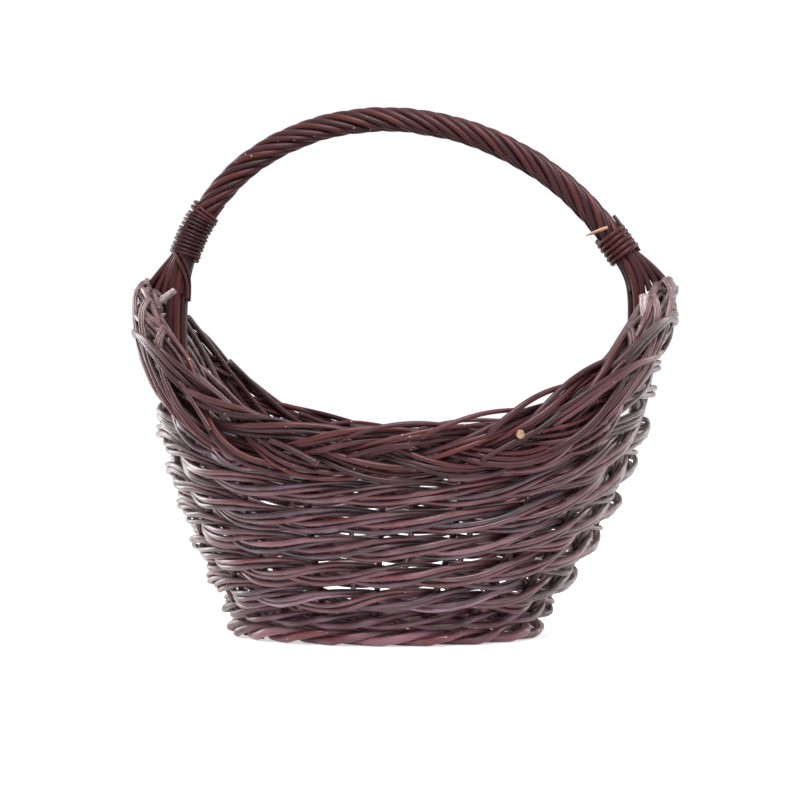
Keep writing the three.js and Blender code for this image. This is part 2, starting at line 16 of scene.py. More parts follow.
import bpy
import numpy as np
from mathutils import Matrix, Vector


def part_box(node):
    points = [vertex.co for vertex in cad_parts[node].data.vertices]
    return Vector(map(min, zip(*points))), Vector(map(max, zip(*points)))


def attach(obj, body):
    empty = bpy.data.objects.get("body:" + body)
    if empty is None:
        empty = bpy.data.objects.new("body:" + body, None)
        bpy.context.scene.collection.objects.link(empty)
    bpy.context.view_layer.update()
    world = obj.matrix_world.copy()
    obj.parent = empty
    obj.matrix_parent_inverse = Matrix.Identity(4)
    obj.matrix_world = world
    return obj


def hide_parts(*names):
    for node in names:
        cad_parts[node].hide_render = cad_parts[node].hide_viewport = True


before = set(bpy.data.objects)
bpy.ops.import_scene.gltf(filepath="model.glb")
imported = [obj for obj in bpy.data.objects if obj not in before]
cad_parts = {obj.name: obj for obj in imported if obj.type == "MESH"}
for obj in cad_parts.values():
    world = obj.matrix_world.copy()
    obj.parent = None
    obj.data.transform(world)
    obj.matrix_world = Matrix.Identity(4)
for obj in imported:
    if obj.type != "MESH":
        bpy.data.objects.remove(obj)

MM = 0.001
PROBE = 1e-3
TINY = 1e-12
WAVE_SHARES = (0.63, 1.0, 1.71)
WAVE_SPREAD = (0.85, 1.15)
SIDE_HINT = (0.31, 0.57, 0.76)
BLACK, WHITE = "000000", "ffffff"
LOG = logging.getLogger("firewood_basket")


class Bark(Enum):
    """The bark a rod carries, named as the record's material slots."""

    STAKE = "stake"
    FOOT = "foot"
    WALE = "wale"
    BORDER = "border"
    HANDLE = "handle"
    LASHING = "lashing"
    BASE = "base"


class Cut(Enum):
    """The wood at a rod's cut end."""

    FRESH = "fresh"
    OLD = "old"


def linear(colour: str) -> tuple[float, float, float, float]:
    """Turns a screen colour into the shader's linear colour.

    Args:
        colour: six hexadecimal digits, red first.

    Returns:
        Linear red, green, blue and an alpha of one.
    """
    parts = [int(colour[k:k + 2], 16) / 255 for k in (0, 2, 4)]
    lit = [p / 12.92 if p <= 0.04045 else ((p + 0.055) / 1.055) ** 2.4 for p in parts]
    return (lit[0], lit[1], lit[2], 1.0)


def unit(vectors: np.ndarray) -> np.ndarray:
    """Returns the vectors scaled to length one."""
    return vectors / np.maximum(np.linalg.norm(vectors, axis=-1, keepdims=True), TINY)


def wander(rng: np.random.Generator, along: np.ndarray, wave: float, size: float) -> np.ndarray:
    """A smooth random curve along a rod.

    Args:
        rng: source of the random phases.
        along: distance along the rod at each point.
        wave: usual length of one wave.
        size: usual height of the waves.

    Returns:
        The curve's value at each point.
    """
    total = np.zeros_like(along)
    for share in WAVE_SHARES:
        turn = rng.uniform(0, 2 * math.pi)
        length = wave * share * rng.uniform(*WAVE_SPREAD)
        total += math.sqrt(share) * np.sin(2 * math.pi * along / length + turn)
    return size * total / 2


def distances(path: np.ndarray) -> np.ndarray:
    """Returns how far along a path each of its points lies."""
    return np.concatenate([[0], np.cumsum(np.linalg.norm(np.diff(path, axis=0), axis=1))])


def between(t: np.ndarray, low: float, high: float, first: np.ndarray, last: np.ndarray) -> np.ndarray:
    """Returns points that go from the first to the last as t goes from low to high."""
    return (high - t) / (high - low) * first + (t - low) / (high - low) * last


def through(points: np.ndarray, spans: int) -> np.ndarray:
    """A smooth curve through points, even along its length.

    Args:
        points: the points the curve passes, in order.
        spans: number of steps between neighbouring points.

    Returns:
        Points of the curve.
    """
    first = 2 * points[:1] - points[1:2]
    last = 2 * points[-1:] - points[-2:-1]
    held = np.concatenate([first, points, last])
    knots = np.concatenate([[0], np.cumsum(np.linalg.norm(np.diff(held, axis=0), axis=1) ** 0.5)])
    pieces = []
    for k in range(1, len(held) - 2):
        ends = k + 2 == len(held) - 1
        t = np.linspace(knots[k], knots[k + 1], spans + 1)[: None if ends else -1, None]
        a = [between(t, knots[k + j - 1], knots[k + j], held[k + j - 1], held[k + j]) for j in (0, 1, 2)]
        b = [between(t, knots[k + j - 1], knots[k + j + 1], a[j], a[j + 1]) for j in (0, 1)]
        pieces.append(between(t, knots[k], knots[k + 1], b[0], b[1]))
    return np.concatenate(pieces)


def repeat_curve(pattern: tuple[float, ...], place: np.ndarray) -> np.ndarray:
    """Reads a repeating pattern as a smooth curve.

    Args:
        pattern: values at whole places, repeated for ever.
        place: where to read it.

    Returns:
        The curve's value at each place.
    """
    values = np.asarray(pattern, float)
    low = np.floor(place).astype(int)
    t = place - low
    p0, p1, p2, p3 = (values[(low + k) % len(values)] for k in (-1, 0, 1, 2))
    return 0.5 * (2 * p1 + (p2 - p0) * t + (2 * p0 - 5 * p1 + 4 * p2 - p3) * t ** 2
                  + (3 * p1 - p0 - 3 * p2 + p3) * t ** 3)


@dataclass(frozen=True)
class BasketForm:
    """The basket's wall and rim, with the sizes of the solids in the frame."""

    stakes: int = 20
    stake_rod: float = 5.6
    foot_rod: float = 7.6
    upsett_rod: float = 5.6
    wale_rod: float = 5.2
    border_rod: float = 4.8
    clearance: float = 0.4
    base_length: float = 250
    base_width: float = 182
    rim_length: float = 440
    rim_width: float = 314
    rim_offset: float = 17
    flare_sweep: float = math.radians(90)
    flare_earliness: float = 0.85
    bands: int = 5
    band_gap: float = 1.2
    upsett_gap: float = 3
    end_lift: float = 0.45
    border_end_height: float = 128
    end_sharpness: float = 3.4
    border_rods: int = 2
    plait_depth_share: float = 1.15
    plait_swing_share: float = 1.65
    rod_sides: int = 5

    @cached_property
    def shift(self) -> np.ndarray:
        """The step from the weave's axes to the frame's, read at the middle cross stick."""
        low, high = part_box("base_cross_stick_2")
        return np.array([(low.x + high.x) / 2 / MM, (low.y + high.y) / 2 / MM, 0.0])

    @cached_property
    def foot_half_rise(self) -> float:
        """Half the height a foot rod climbs in one stroke."""
        return (self.foot_rod + self.clearance) / 2

    @cached_property
    def foot_level(self) -> float:
        """Height of the middle of the foot."""
        return math.cos(math.pi / self.rod_sides) * self.foot_rod / 2 + self.foot_half_rise

    @cached_property
    def foot_top(self) -> float:
        """Height of the top of the foot."""
        return self.foot_level + self.foot_half_rise + self.foot_rod / 2

    @cached_property
    def upsett_half_rise(self) -> float:
        """Half the height an upsett rod climbs in one stroke."""
        return (self.upsett_rod + self.clearance) / 2

    @cached_property
    def upsett_level(self) -> float:
        """Level of the middle of the upsett."""
        return self.foot_top + self.upsett_gap + self.upsett_half_rise + self.upsett_rod / 2

    @cached_property
    def wale_half_rise(self) -> float:
        """Half the height a doubled wale rod climbs in one stroke."""
        return (2 * self.wale_rod + self.clearance) / 2

    @cached_property
    def band_half(self) -> float:
        """Half the height of one wale band."""
        return self.wale_half_rise + self.wale_rod

    @cached_property
    def band_levels(self) -> list[float]:
        """Level of the middle of each wale band."""
        low = self.upsett_level + self.upsett_half_rise + self.upsett_rod / 2 + self.band_gap + self.band_half
        return [low + k * (2 * self.band_half + self.band_gap) for k in range(self.bands)]

    @cached_property
    def band_top(self) -> float:
        """Level of the top of the highest wale band."""
        return self.band_levels[-1] + self.band_half

    @cached_property
    def strand_width(self) -> float:
        """Width of one strand of the border."""
        return self.border_rods * self.border_rod

    @cached_property
    def plait_depth(self) -> float:
        """How far a border strand moves in and out."""
        return self.plait_depth_share * (self.border_rod + self.clearance)

    @cached_property
    def plait_swing(self) -> float:
        """How far a border strand moves up and down."""
        return self.plait_swing_share * (self.strand_width + self.clearance)

    @cached_property
    def border_half(self) -> float:
        """Half the height of the border."""
        return self.plait_swing + self.strand_width / 2

    @cached_property
    def border_out(self) -> float:
        """How far outside the uprights the border's middle lies."""
        return self.stake_rod / 2 + self.clearance + self.plait_depth + self.border_rod / 2

    @cached_property
    def border_middle(self) -> float:
        """Height of the border at the middle of the long sides."""
        return self.band_top + self.band_gap + self.border_half

    @cached_property
    def peak_level(self) -> float:
        """Level of the border at the ends."""
        return float(self.level_at(np.zeros(1), self.border_height(np.zeros(1)))[0])

    def end_share(self, theta: np.ndarray) -> np.ndarray:
        """How far each place belongs to an end: one there, none at the middle."""
        return np.abs(np.cos(theta)) ** self.end_sharpness

    def lift(self, theta: np.ndarray) -> np.ndarray:
        """How much taller the rows stand at each place."""
        return 1 + self.end_lift * self.end_share(theta)

    def border_height(self, theta: np.ndarray) -> np.ndarray:
        """Height of the border's middle line."""
        return self.border_middle + self.border_end_height * self.end_share(theta)

    def level_at(self, theta: np.ndarray, z: np.ndarray) -> np.ndarray:
        """The level of the weave that lies at a height."""
        return self.foot_top + (z - self.foot_top) / self.lift(theta)

    def wall(self, theta: np.ndarray, level: np.ndarray) -> np.ndarray:
        """Points of the wall where the uprights' middles run.

        Args:
            theta: angle round the basket from the right end.
            level: level of the weave.

        Returns:
            The points.
        """
        climbed = np.maximum(0, level - self.foot_top) / (self.peak_level - self.foot_top)
        flare = np.sin(self.flare_sweep * climbed ** self.flare_earliness)
        half_length = (self.base_length + (self.rim_length - self.base_length) * flare) / 2
        half_width = (self.base_width + (self.rim_width - self.base_width) * flare) / 2
        raised = self.foot_top + (level - self.foot_top) * self.lift(theta)
        x = self.rim_offset * flare + half_length * np.cos(theta)
        return np.stack([x, half_width * np.sin(theta), np.where(level < self.foot_top, level, raised)], -1)

    def wall_axes(self, theta: np.ndarray, level: np.ndarray) -> tuple[np.ndarray, np.ndarray, np.ndarray]:
        """The wall's own axes at places on it.

        Args:
            theta: angle round the basket.
            level: level of the weave.

        Returns:
            Directions along the round, out of the basket and up the uprights.
        """
        along = unit(self.wall(theta + PROBE, level) - self.wall(theta - PROBE, level))
        climb = unit(self.wall(theta, level + PROBE) - self.wall(theta, level - PROBE))
        return along, unit(np.cross(along, climb)), climb

    def on_wall(self, theta: np.ndarray, level: np.ndarray, out: np.ndarray, up: np.ndarray) -> np.ndarray:
        """Points beside the wall.

        Args:
            theta: angle round the basket.
            level: level of the weave.
            out: distances out of the basket.
            up: distances up the uprights.

        Returns:
            The points.
        """
        _, out_axis, up_axis = self.wall_axes(theta, level)
        return self.wall(theta, level) + out[:, None] * out_axis + up[:, None] * up_axis

    def rim(self, theta: np.ndarray) -> np.ndarray:
        """Points of the border's line on the wall."""
        return self.wall(theta, self.level_at(theta, self.border_height(theta)))

    def rim_axes(self, theta: np.ndarray) -> tuple[np.ndarray, np.ndarray, np.ndarray]:
        """The border's own axes: along the rim, out of the basket and square to both.

        Args:
            theta: angle round the basket.

        Returns:
            The three directions.
        """
        along = unit(self.rim(theta + PROBE) - self.rim(theta - PROBE))
        out = self.wall_axes(theta, self.level_at(theta, self.border_height(theta)))[1]
        return along, out, unit(np.cross(out, along))

    def on_rim(self, theta: np.ndarray, out: np.ndarray, up: np.ndarray) -> np.ndarray:
        """Points beside the border's line.

        Args:
            theta: angle round the basket.
            out: distances out of the basket.
            up: distances square to the rim.

        Returns:
            The points.
        """
        _, out_axis, up_axis = self.rim_axes(theta)
        return self.rim(theta) + out[:, None] * out_axis + up[:, None] * up_axis


@dataclass(frozen=True)
class Grain:
    """A noise along a rod: stretch of each coordinate, features in a metre and octaves."""

    stretch: tuple[float, float, float]
    scale: float
    detail: float


STREAKS = Grain((1.0, 1.0, 0.05), 900, 4.0)
PATCHES = Grain((1.0, 1.0, 0.5), 60, 3.0)
GRIT = Grain((1.0, 1.0, 0.6), 1700, 2.0)
CRACKS = Grain((1.0, 1.0, 0.55), 210, 5.0)
END_GRAIN = Grain((1.0, 1.0, 1.0), 700, 3.0)


@dataclass(frozen=True)
class NodeBench:
    """Adds nodes to the tree of a material or of the surround."""

    tree: bpy.types.NodeTree

    def feed(self, node: bpy.types.Node,
             inputs: dict[str | int, bpy.types.NodeSocket | float | tuple[float, ...]]) -> None:
        """Feeds a node.

        Args:
            node: the node.
            inputs: what goes into it by name or number, sockets to link and plain values.
        """
        for name, value in inputs.items():
            if isinstance(value, bpy.types.NodeSocket):
                self.tree.links.new(value, node.inputs[name])
            else:
                node.inputs[name].default_value = value

    def add(self, kind: str, inputs: dict[str | int, bpy.types.NodeSocket | float | tuple[float, ...]],
            **settings: str) -> bpy.types.Node:
        """Adds a node, sets its options and feeds it.

        Args:
            kind: Blender's name of the node.
            inputs: what goes into it.
            settings: options to set.

        Returns:
            The node.
        """
        node = self.tree.nodes.new(kind)
        for name, value in settings.items():
            setattr(node, name, value)
        self.feed(node, inputs)
        return node

    def attribute(self, name: str, output: str) -> bpy.types.NodeSocket:
        """Returns what the mesh carries under a name."""
        return self.add("ShaderNodeAttribute", {}, attribute_name=name).outputs[output]

    def combine(self, operation: str, first: bpy.types.NodeSocket,
                second: bpy.types.NodeSocket | float) -> bpy.types.NodeSocket:
        """Returns the product, sum or other result of two values."""
        return self.add("ShaderNodeMath", {0: first, 1: second}, operation=operation).outputs[0]

    def times(self, first: bpy.types.NodeSocket,
              second: bpy.types.NodeSocket | float) -> bpy.types.NodeSocket:
        """Returns the product of two values."""
        return self.combine("MULTIPLY", first, second)

    def noise(self, grain: Grain, place: bpy.types.NodeSocket) -> bpy.types.NodeSocket:
        """Returns a noise in the rod's own coordinates."""
        spot = self.add("ShaderNodeMapping", {"Vector": place, "Scale": grain.stretch}).outputs["Vector"]
        texture = {"Vector": spot, "Scale": grain.scale, "Detail": grain.detail}
        return self.add("ShaderNodeTexNoise", texture).outputs["Fac"]

    def ramp(self, value: bpy.types.NodeSocket, *stops: tuple[float, str]) -> bpy.types.NodeSocket:
        """A run of colours picked by a value.

        Args:
            value: the value that picks.
            stops: place and colour of each stop.

        Returns:
            The picked colour.
        """
        made = self.add("ShaderNodeValToRGB", {"Fac": value})
        points = made.color_ramp.elements
        while len(points) < len(stops):
            points.new(0.5)
        for point, (place, colour) in zip(points, stops):
            point.position = place
            point.color = linear(colour)
        return made.outputs["Color"]

    def mask(self, value: bpy.types.NodeSocket, edge: tuple[float, float]) -> bpy.types.NodeSocket:
        """Returns black below an edge, white above it and greys between its two values."""
        return self.ramp(value, (edge[0], BLACK), (edge[1], WHITE))

    def spread(self, value: bpy.types.NodeSocket, low: float, high: float, start: float = 0.0,
               end: float = 1.0) -> bpy.types.NodeSocket:
        """Spreads a value between a low and a high one.

        Args:
            value: the value.
            low: what its start becomes.
            high: what its end becomes.
            start: where the value starts.
            end: where it ends.

        Returns:
            The spread value.
        """
        inputs = {"Value": value, "From Min": start, "From Max": end, "To Min": low, "To Max": high}
        return self.add("ShaderNodeMapRange", inputs).outputs["Result"]

    def mix(self, share: bpy.types.NodeSocket, first: bpy.types.NodeSocket,
            second: str) -> bpy.types.NodeSocket:
        """Returns a colour mixed towards a second one."""
        inputs = {0: share, 6: first, 7: linear(second)}
        return self.add("ShaderNodeMix", inputs, data_type="RGBA").outputs[2]


@dataclass(frozen=True)
class BarkFinish:
    """Stained willow bark: streaks along the rod, patches of bloom that are partly painted highlights, pale
    specks and a satin face; some finishes turn pale grey towards the basket's ends, partly weathered bark and
    partly painted side light.
    """

    name: str
    deep: str
    plain: str
    warm: str
    # Bloom colour: partly the bark's own bloom, partly painted highlights.
    bloom_and_highlight: str
    bloom_and_highlight_share: float
    rough_low: float
    rough_high: float
    gloss: float = 0.22
    # Pale grey towards the basket's ends: partly weathered bark, partly painted light from the side lamps.
    worn_and_side_light_share: float = 0.0
    worn_and_side_light: str = "b3a6a3"
    coat: float = 0.12
    end_coat: float = 0.45
    coat_rough: float = 0.16
    sheen: float = 0.06
    sheen_rough: float = 0.4
    sheen_tint: str = "f2dfe4"
    tint_stops: tuple[float, float, float, float] = (0.0, 0.4, 0.72, 1.0)
    bloom_and_highlight_edge: tuple[float, float] = (0.42, 0.72)
    crack_edge: tuple[float, float] = (0.28, 0.56)
    streak_edge: tuple[float, float] = (0.5, 0.68)
    streak_share: float = 0.55
    grit_share: float = 0.5
    bump: float = 0.4
    bump_height: float = 0.0004
    speck: str = "a58d84"
    speck_edge: tuple[float, float] = (0.1, 0.16)
    specks_in_metre: float = 170
    speck_rarity: float = 0.88

    def make(self) -> bpy.types.Material:
        """Builds the material.

        Returns:
            The finished material.
        """
        material = bpy.data.materials.new(f"bark_{self.name}")
        material.use_nodes = True
        bench = NodeBench(material.node_tree)
        place = bench.attribute("rod_space", "Vector")
        streak = bench.noise(STREAKS, place)
        patch = bench.noise(PATCHES, place)
        tints = zip(self.tint_stops, (self.deep, self.plain, self.warm, self.bloom_and_highlight))
        colour = bench.ramp(bench.attribute("rod_tint", "Fac"), *tints)
        # Bloom patches mixed in at random: partly the bark's own bloom, partly painted highlights.
        bloom_and_highlight_patches = bench.times(bench.mask(patch, self.bloom_and_highlight_edge), self.bloom_and_highlight_share)
        colour = bench.mix(bloom_and_highlight_patches, colour, self.bloom_and_highlight)
        coat = self.coat
        # Pale grey at the basket's ends, partly weathered bark and partly painted side light; the coat rises
        # there too.
        if self.worn_and_side_light_share > 0:
            bent = bench.attribute("rod_wear_and_side_light", "Fac")
            colour = bench.mix(self.wear_and_side_light(bench, place, bent), colour, self.worn_and_side_light)
            coat = bench.spread(bent, self.coat, self.end_coat)
        lines = bench.times(bench.mask(streak, self.streak_edge), self.streak_share)
        colour = bench.mix(lines, colour, self.deep)
        colour = bench.mix(self.specks(bench, place), colour, self.speck)
        height = bench.combine("ADD", streak, bench.times(bench.noise(GRIT, place), self.grit_share))
        bump = bench.add("ShaderNodeBump", {"Strength": self.bump, "Distance": self.bump_height,
                                            "Height": height})
        bench.feed(material.node_tree.nodes["Principled BSDF"], {
            "Base Color": colour, "Roughness": bench.spread(patch, self.rough_low, self.rough_high),
            "Normal": bump.outputs["Normal"], "Specular IOR Level": self.gloss,
            "Coat Weight": coat, "Coat Roughness": self.coat_rough, "Sheen Weight": self.sheen,
            "Sheen Roughness": self.sheen_rough, "Sheen Tint": linear(self.sheen_tint)})
        return material

    def wear_and_side_light(self, bench: NodeBench, place: bpy.types.NodeSocket,
             bent: bpy.types.NodeSocket) -> bpy.types.NodeSocket:
        """Pale grey bark where rods bend sharply round the ends of the basket, partly weathered and partly
        painted light falling on the ends from the sides.

        Args:
            bench: adds the nodes.
            place: coordinates along the rod.
            bent: how near the ends of the basket the place is.

        Returns:
            How much of the pale grey, part wear and part painted side light, shows.
        """
        whole = bench.mask(bench.noise(CRACKS, place), self.crack_edge)
        return bench.times(bench.times(bent, whole), self.worn_and_side_light_share)

    def specks(self, bench: NodeBench, place: bpy.types.NodeSocket) -> bpy.types.NodeSocket:
        """Sparse pale specks where buds were rubbed off.

        Args:
            bench: adds the nodes.
            place: coordinates along the rod.

        Returns:
            One inside a speck and none elsewhere.
        """
        cells = bench.add("ShaderNodeTexVoronoi", {"Vector": place, "Scale": self.specks_in_metre})
        near = bench.ramp(cells.outputs["Distance"], *zip(self.speck_edge, (WHITE, BLACK)))
        picked = bench.add("ShaderNodeSeparateColor", {"Color": cells.outputs["Color"]}).outputs[0]
        return bench.times(near, bench.combine("GREATER_THAN", picked, self.speck_rarity))


@dataclass(frozen=True)
class CutFinish:
    """The bare wood of a cut rod end."""

    name: str
    pale: str
    dark: str
    grain_edge: tuple[float, float] = (0.3, 0.6)
    rough: float = 0.75

    def make(self) -> bpy.types.Material:
        """Builds the material.

        Returns:
            The finished material.
        """
        material = bpy.data.materials.new(self.name)
        material.use_nodes = True
        bench = NodeBench(material.node_tree)
        grain = bench.noise(END_GRAIN, bench.attribute("rod_space", "Vector"))
        colour = bench.ramp(grain, *zip(self.grain_edge, (self.dark, self.pale)))
        bench.feed(material.node_tree.nodes["Principled BSDF"], {
            "Base Color": colour, "Roughness": self.rough})
        return material


FINISHES = {
    Bark.STAKE: BarkFinish(
        "stake", deep="1d0d0f", plain="33191c", warm="442321", bloom_and_highlight="5c4448", bloom_and_highlight_share=0.15,
        rough_low=0.45, rough_high=0.65, worn_and_side_light_share=0.2),
    Bark.FOOT: BarkFinish(
        "foot", deep="2a1119", plain="562b37", warm="723335", bloom_and_highlight="a37f90", bloom_and_highlight_share=0.4,
        rough_low=0.34, rough_high=0.54, gloss=0.3, worn_and_side_light_share=0.46, coat=0.24, end_coat=0.1, sheen=0.02),
    Bark.WALE: BarkFinish(
        "wale", deep="1e0b14", plain="3d1924", warm="5c2727", bloom_and_highlight="9d7a8a", bloom_and_highlight_share=0.38,
        rough_low=0.28, rough_high=0.48, gloss=0.38, worn_and_side_light_share=0.5, coat=0.24, end_coat=0.08, sheen=0.02),
    Bark.BORDER: BarkFinish(
        "border", deep="200e11", plain="38191d", warm="512422", bloom_and_highlight="664950", bloom_and_highlight_share=0.25,
        rough_low=0.36, rough_high=0.56, gloss=0.16, worn_and_side_light_share=0.24, end_coat=0.3, sheen=0.03),
    Bark.HANDLE: BarkFinish(
        "handle", deep="221012", plain="36191c", warm="49221f", bloom_and_highlight="482c30", bloom_and_highlight_share=0.15,
        rough_low=0.4, rough_high=0.56, gloss=0.15, coat=0.06),
    Bark.LASHING: BarkFinish(
        "lashing", deep="220f12", plain="38191d", warm="47201f", bloom_and_highlight="4a3036", bloom_and_highlight_share=0.15,
        rough_low=0.4, rough_high=0.56, gloss=0.12, coat=0.05),
    Bark.BASE: BarkFinish(
        "base", deep="2c1918", plain="4a2d2a", warm="5c3a2f", bloom_and_highlight="7c6660", bloom_and_highlight_share=0.25,
        rough_low=0.5, rough_high=0.7),
    Cut.FRESH: CutFinish("fresh_cut", pale="b48f72", dark="65473a"),
    Cut.OLD: CutFinish("old_cut", pale="7b655d", dark="3c2a27"),
}


@dataclass
class Rod:
    """One round willow rod along a path."""

    path: np.ndarray
    radius: np.ndarray
    tint: float
    seed: int
    oval: float = 0.05
    oval_turn: float = 6.28
    grain_reach: float = 900

    def tube(self, sides: int) -> tuple[np.ndarray, np.ndarray]:
        """Rings of points round the path, and the same rings on a straightened rod.

        Args:
            sides: points in a ring.

        Returns:
            Ring points in space and ring points on the straightened rod.
        """
        heading = unit(np.gradient(self.path, axis=0))
        side = np.zeros_like(heading)
        side[0] = unit(np.cross(heading[0], SIDE_HINT))
        for k in range(1, len(heading)):
            kept = side[k - 1] - heading[k] * (side[k - 1] @ heading[k])
            side[k] = kept / np.linalg.norm(kept)
        up = np.cross(heading, side)
        angle = 2 * math.pi * np.arange(sides) / sides
        ring = np.cos(angle)[None, :, None] * side[:, None] + np.sin(angle)[None, :, None] * up[:, None]
        rng = np.random.default_rng(self.seed)
        oval = 1 + self.oval * np.sin(2 * angle + rng.uniform(0, self.oval_turn))[None, :]
        reach = self.radius[:, None] * oval
        along = distances(self.path) + rng.uniform(0, self.grain_reach)
        flat = np.stack([reach * np.cos(angle), reach * np.sin(angle),
                         np.broadcast_to(along[:, None], reach.shape)], -1)
        return self.path[:, None] + reach[..., None] * ring, flat


@dataclass
class RodPiece:
    """One piece of the basket: rods that stand for a solid, or lie beside the solids if node is empty."""

    name: str
    bark: Bark
    node: str
    rods: list[Rod] = field(default_factory=list)
    sides: int = 10
    cut: Cut = Cut.OLD
    split: bool = False
    # Scales the pale grey at the basket's ends, which is partly wear and partly painted side light.
    wear_and_side_light: float = 1.0
    oval: float = 1.35
    bend_start: float = 0.76
    bend_reach: float = 0.22

    def tubes(self) -> tuple[np.ndarray, np.ndarray, list[list[int]], int]:
        """The rods' points and faces.

        Returns:
            Points in space, points on the straightened rods, the faces, and how many of the last ones
            are cut ends.
        """
        points, flats, quads, caps = [], [], [], []
        count = 0
        for rod in self.rods:
            ring, flat = rod.tube(self.sides)
            rows = len(ring)
            points.append(ring.reshape(-1, 3))
            flats.append(flat.reshape(-1, 3))
            row, col = np.meshgrid(np.arange(rows - 1), np.arange(self.sides), indexing="ij")
            nxt = (col + 1) % self.sides
            quad = np.stack([row * self.sides + col, row * self.sides + nxt,
                             (row + 1) * self.sides + nxt, (row + 1) * self.sides + col], -1)
            quads += (count + quad.reshape(-1, 4)).tolist()
            caps.append((count + np.arange(self.sides)[::-1]).tolist())
            caps.append((count + (rows - 1) * self.sides + np.arange(self.sides)).tolist())
            count += rows * self.sides
        return np.concatenate(points), np.concatenate(flats), quads + caps, len(caps)

    @staticmethod
    def note(mesh: bpy.types.Mesh, name: str, values: np.ndarray) -> None:
        """Writes one number or three on each point of a mesh.

        Args:
            mesh: the mesh.
            name: name the numbers go by.
            values: the numbers.
        """
        kind, entry = ("FLOAT", "value") if values.ndim == 1 else ("FLOAT_VECTOR", "vector")
        layer = mesh.attributes.new(name, kind, "POINT")
        layer.data.foreach_set(entry, values.ravel().astype(np.float32))

    def make(self, form: BasketForm, materials: dict[Bark | Cut, bpy.types.Material]) -> bpy.types.Object:
        """Builds the mesh, dresses it and ties it to the frame.

        Args:
            form: the basket's wall, for the step into the frame.
            materials: the materials of bark and of cut ends.

        Returns:
            The finished object.
        """
        points, flats, faces, caps = self.tubes()
        places = (points + form.shift) * MM
        mesh = bpy.data.meshes.new(self.name)
        mesh.from_pydata(places.tolist(), [], faces)
        smooth = np.ones(len(faces), bool)
        smooth[len(faces) - caps:] = False
        mesh.polygons.foreach_set("use_smooth", smooth)
        mesh.polygons.foreach_set("material_index", (~smooth).astype(np.int32))
        # Pale grey share rising towards the basket's ends: partly wear, partly painted side light.
        endwise = np.abs(places[:, 0]) / np.hypot(places[:, 0], self.oval * places[:, 1])
        self.note(mesh, "rod_space", flats * MM)
        self.note(mesh, "rod_wear_and_side_light", self.wear_and_side_light * np.clip((endwise - self.bend_start) / self.bend_reach, 0, 1))
        self.note(mesh, "rod_tint", np.concatenate([np.full(len(rod.path) * self.sides, rod.tint)
                                                    for rod in self.rods]))
        mesh.materials.append(materials[self.cut if self.split else self.bark])
        mesh.materials.append(materials[self.cut])
        mesh.update()
        piece = bpy.data.objects.new(self.name, mesh)
        bpy.context.scene.collection.objects.link(piece)
        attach(piece, "root")
        if self.node:
            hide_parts(self.node)
        LOG.info("%s: %d rods, %d faces", self.name, len(self.rods), len(faces))
        return piece


@dataclass
class Grower:
    """Grows rods along paths, each with its own taper, swellings and tint."""

    rng: np.random.Generator
    taper: float = 0.14
    swelling: float = 0.12
    swelling_step: float = 90
    swelling_shift: float = 25
    swelling_length: float = 4.0
    swelling_spread: tuple[float, float] = (0.3, 1)
    size_spread: tuple[float, float] = (0.87, 1.1)
    size_wander: tuple[float, float] = (160, 0.025)
    tint_evenness: float = 2.2

    def rod(self, path: np.ndarray, diameter: float, tint: float | None = None) -> Rod:
        """Makes one rod.

        Args:
            path: its middle line.
            diameter: its usual thickness.
            tint: place among the bark's colours from deep to the bloom colour, which is partly a painted
                highlight, or none for a random one.

        Returns:
            The rod.
        """
        along = distances(path)
        slope = np.linspace(1, -1, len(path)) * self.taper * self.rng.choice([-1, 1])
        size = self.rng.uniform(*self.size_spread) * (1 + slope)
        size = size + wander(self.rng, along, *self.size_wander)
        for place in np.arange(self.rng.uniform(0, self.swelling_step), along[-1], self.swelling_step):
            middle = place + self.rng.uniform(-self.swelling_shift, self.swelling_shift)
            knob = np.exp(-((along - middle) / self.swelling_length) ** 2)
            size = size + self.swelling * self.rng.uniform(*self.swelling_spread) * knob
        shade = self.rng.beta(self.tint_evenness, self.tint_evenness) if tint is None else tint
        return Rod(path, size * diameter / 2, float(shade), int(self.rng.integers(1 << 30)))


@dataclass(frozen=True)
class Lay:
    """How the rods of a strand lie side by side; each way they wander has a usual wave and size."""

    spread: float
    roll_share: float
    lane: tuple[float, float]
    roll: tuple[float, float]
    rise: tuple[float, float]
    depth: tuple[float, float]

    def rods(self, rng: np.random.Generator, count: int, size: float, along: np.ndarray, out: np.ndarray,
             up: np.ndarray) -> Iterator[tuple[np.ndarray, np.ndarray]]:
        """Lays the rods of a strand one after another.

        Args:
            rng: source of the random phases.
            count: how many rods.
            size: their thickness.
            along: distance along the strand at each point.
            out: depth of the strand's middle.
            up: height of the strand's middle.

        Returns:
            Depth and height of each rod.
        """
        for rod in range(count):
            lane = (rod - (count - 1) / 2) * size
            lane = lane * (self.spread + wander(rng, along, *self.lane))
            roll = wander(rng, along, *self.roll)
            rise = up + lane * np.cos(roll) + wander(rng, along, *self.rise)
            depth = out + self.roll_share * lane * np.sin(roll) + wander(rng, along, *self.depth)
            yield depth, rise


WALE_LAY = Lay(spread=0.97, roll_share=0.7, lane=(170, 0.2), roll=(240, 0.45), rise=(120, 0.9),
               depth=(90, 0.6))
PLAIT_LAY = Lay(spread=1.04, roll_share=0.8, lane=(210, 0.25), roll=(260, 0.55), rise=(150, 1.2),
                depth=(110, 0.9))


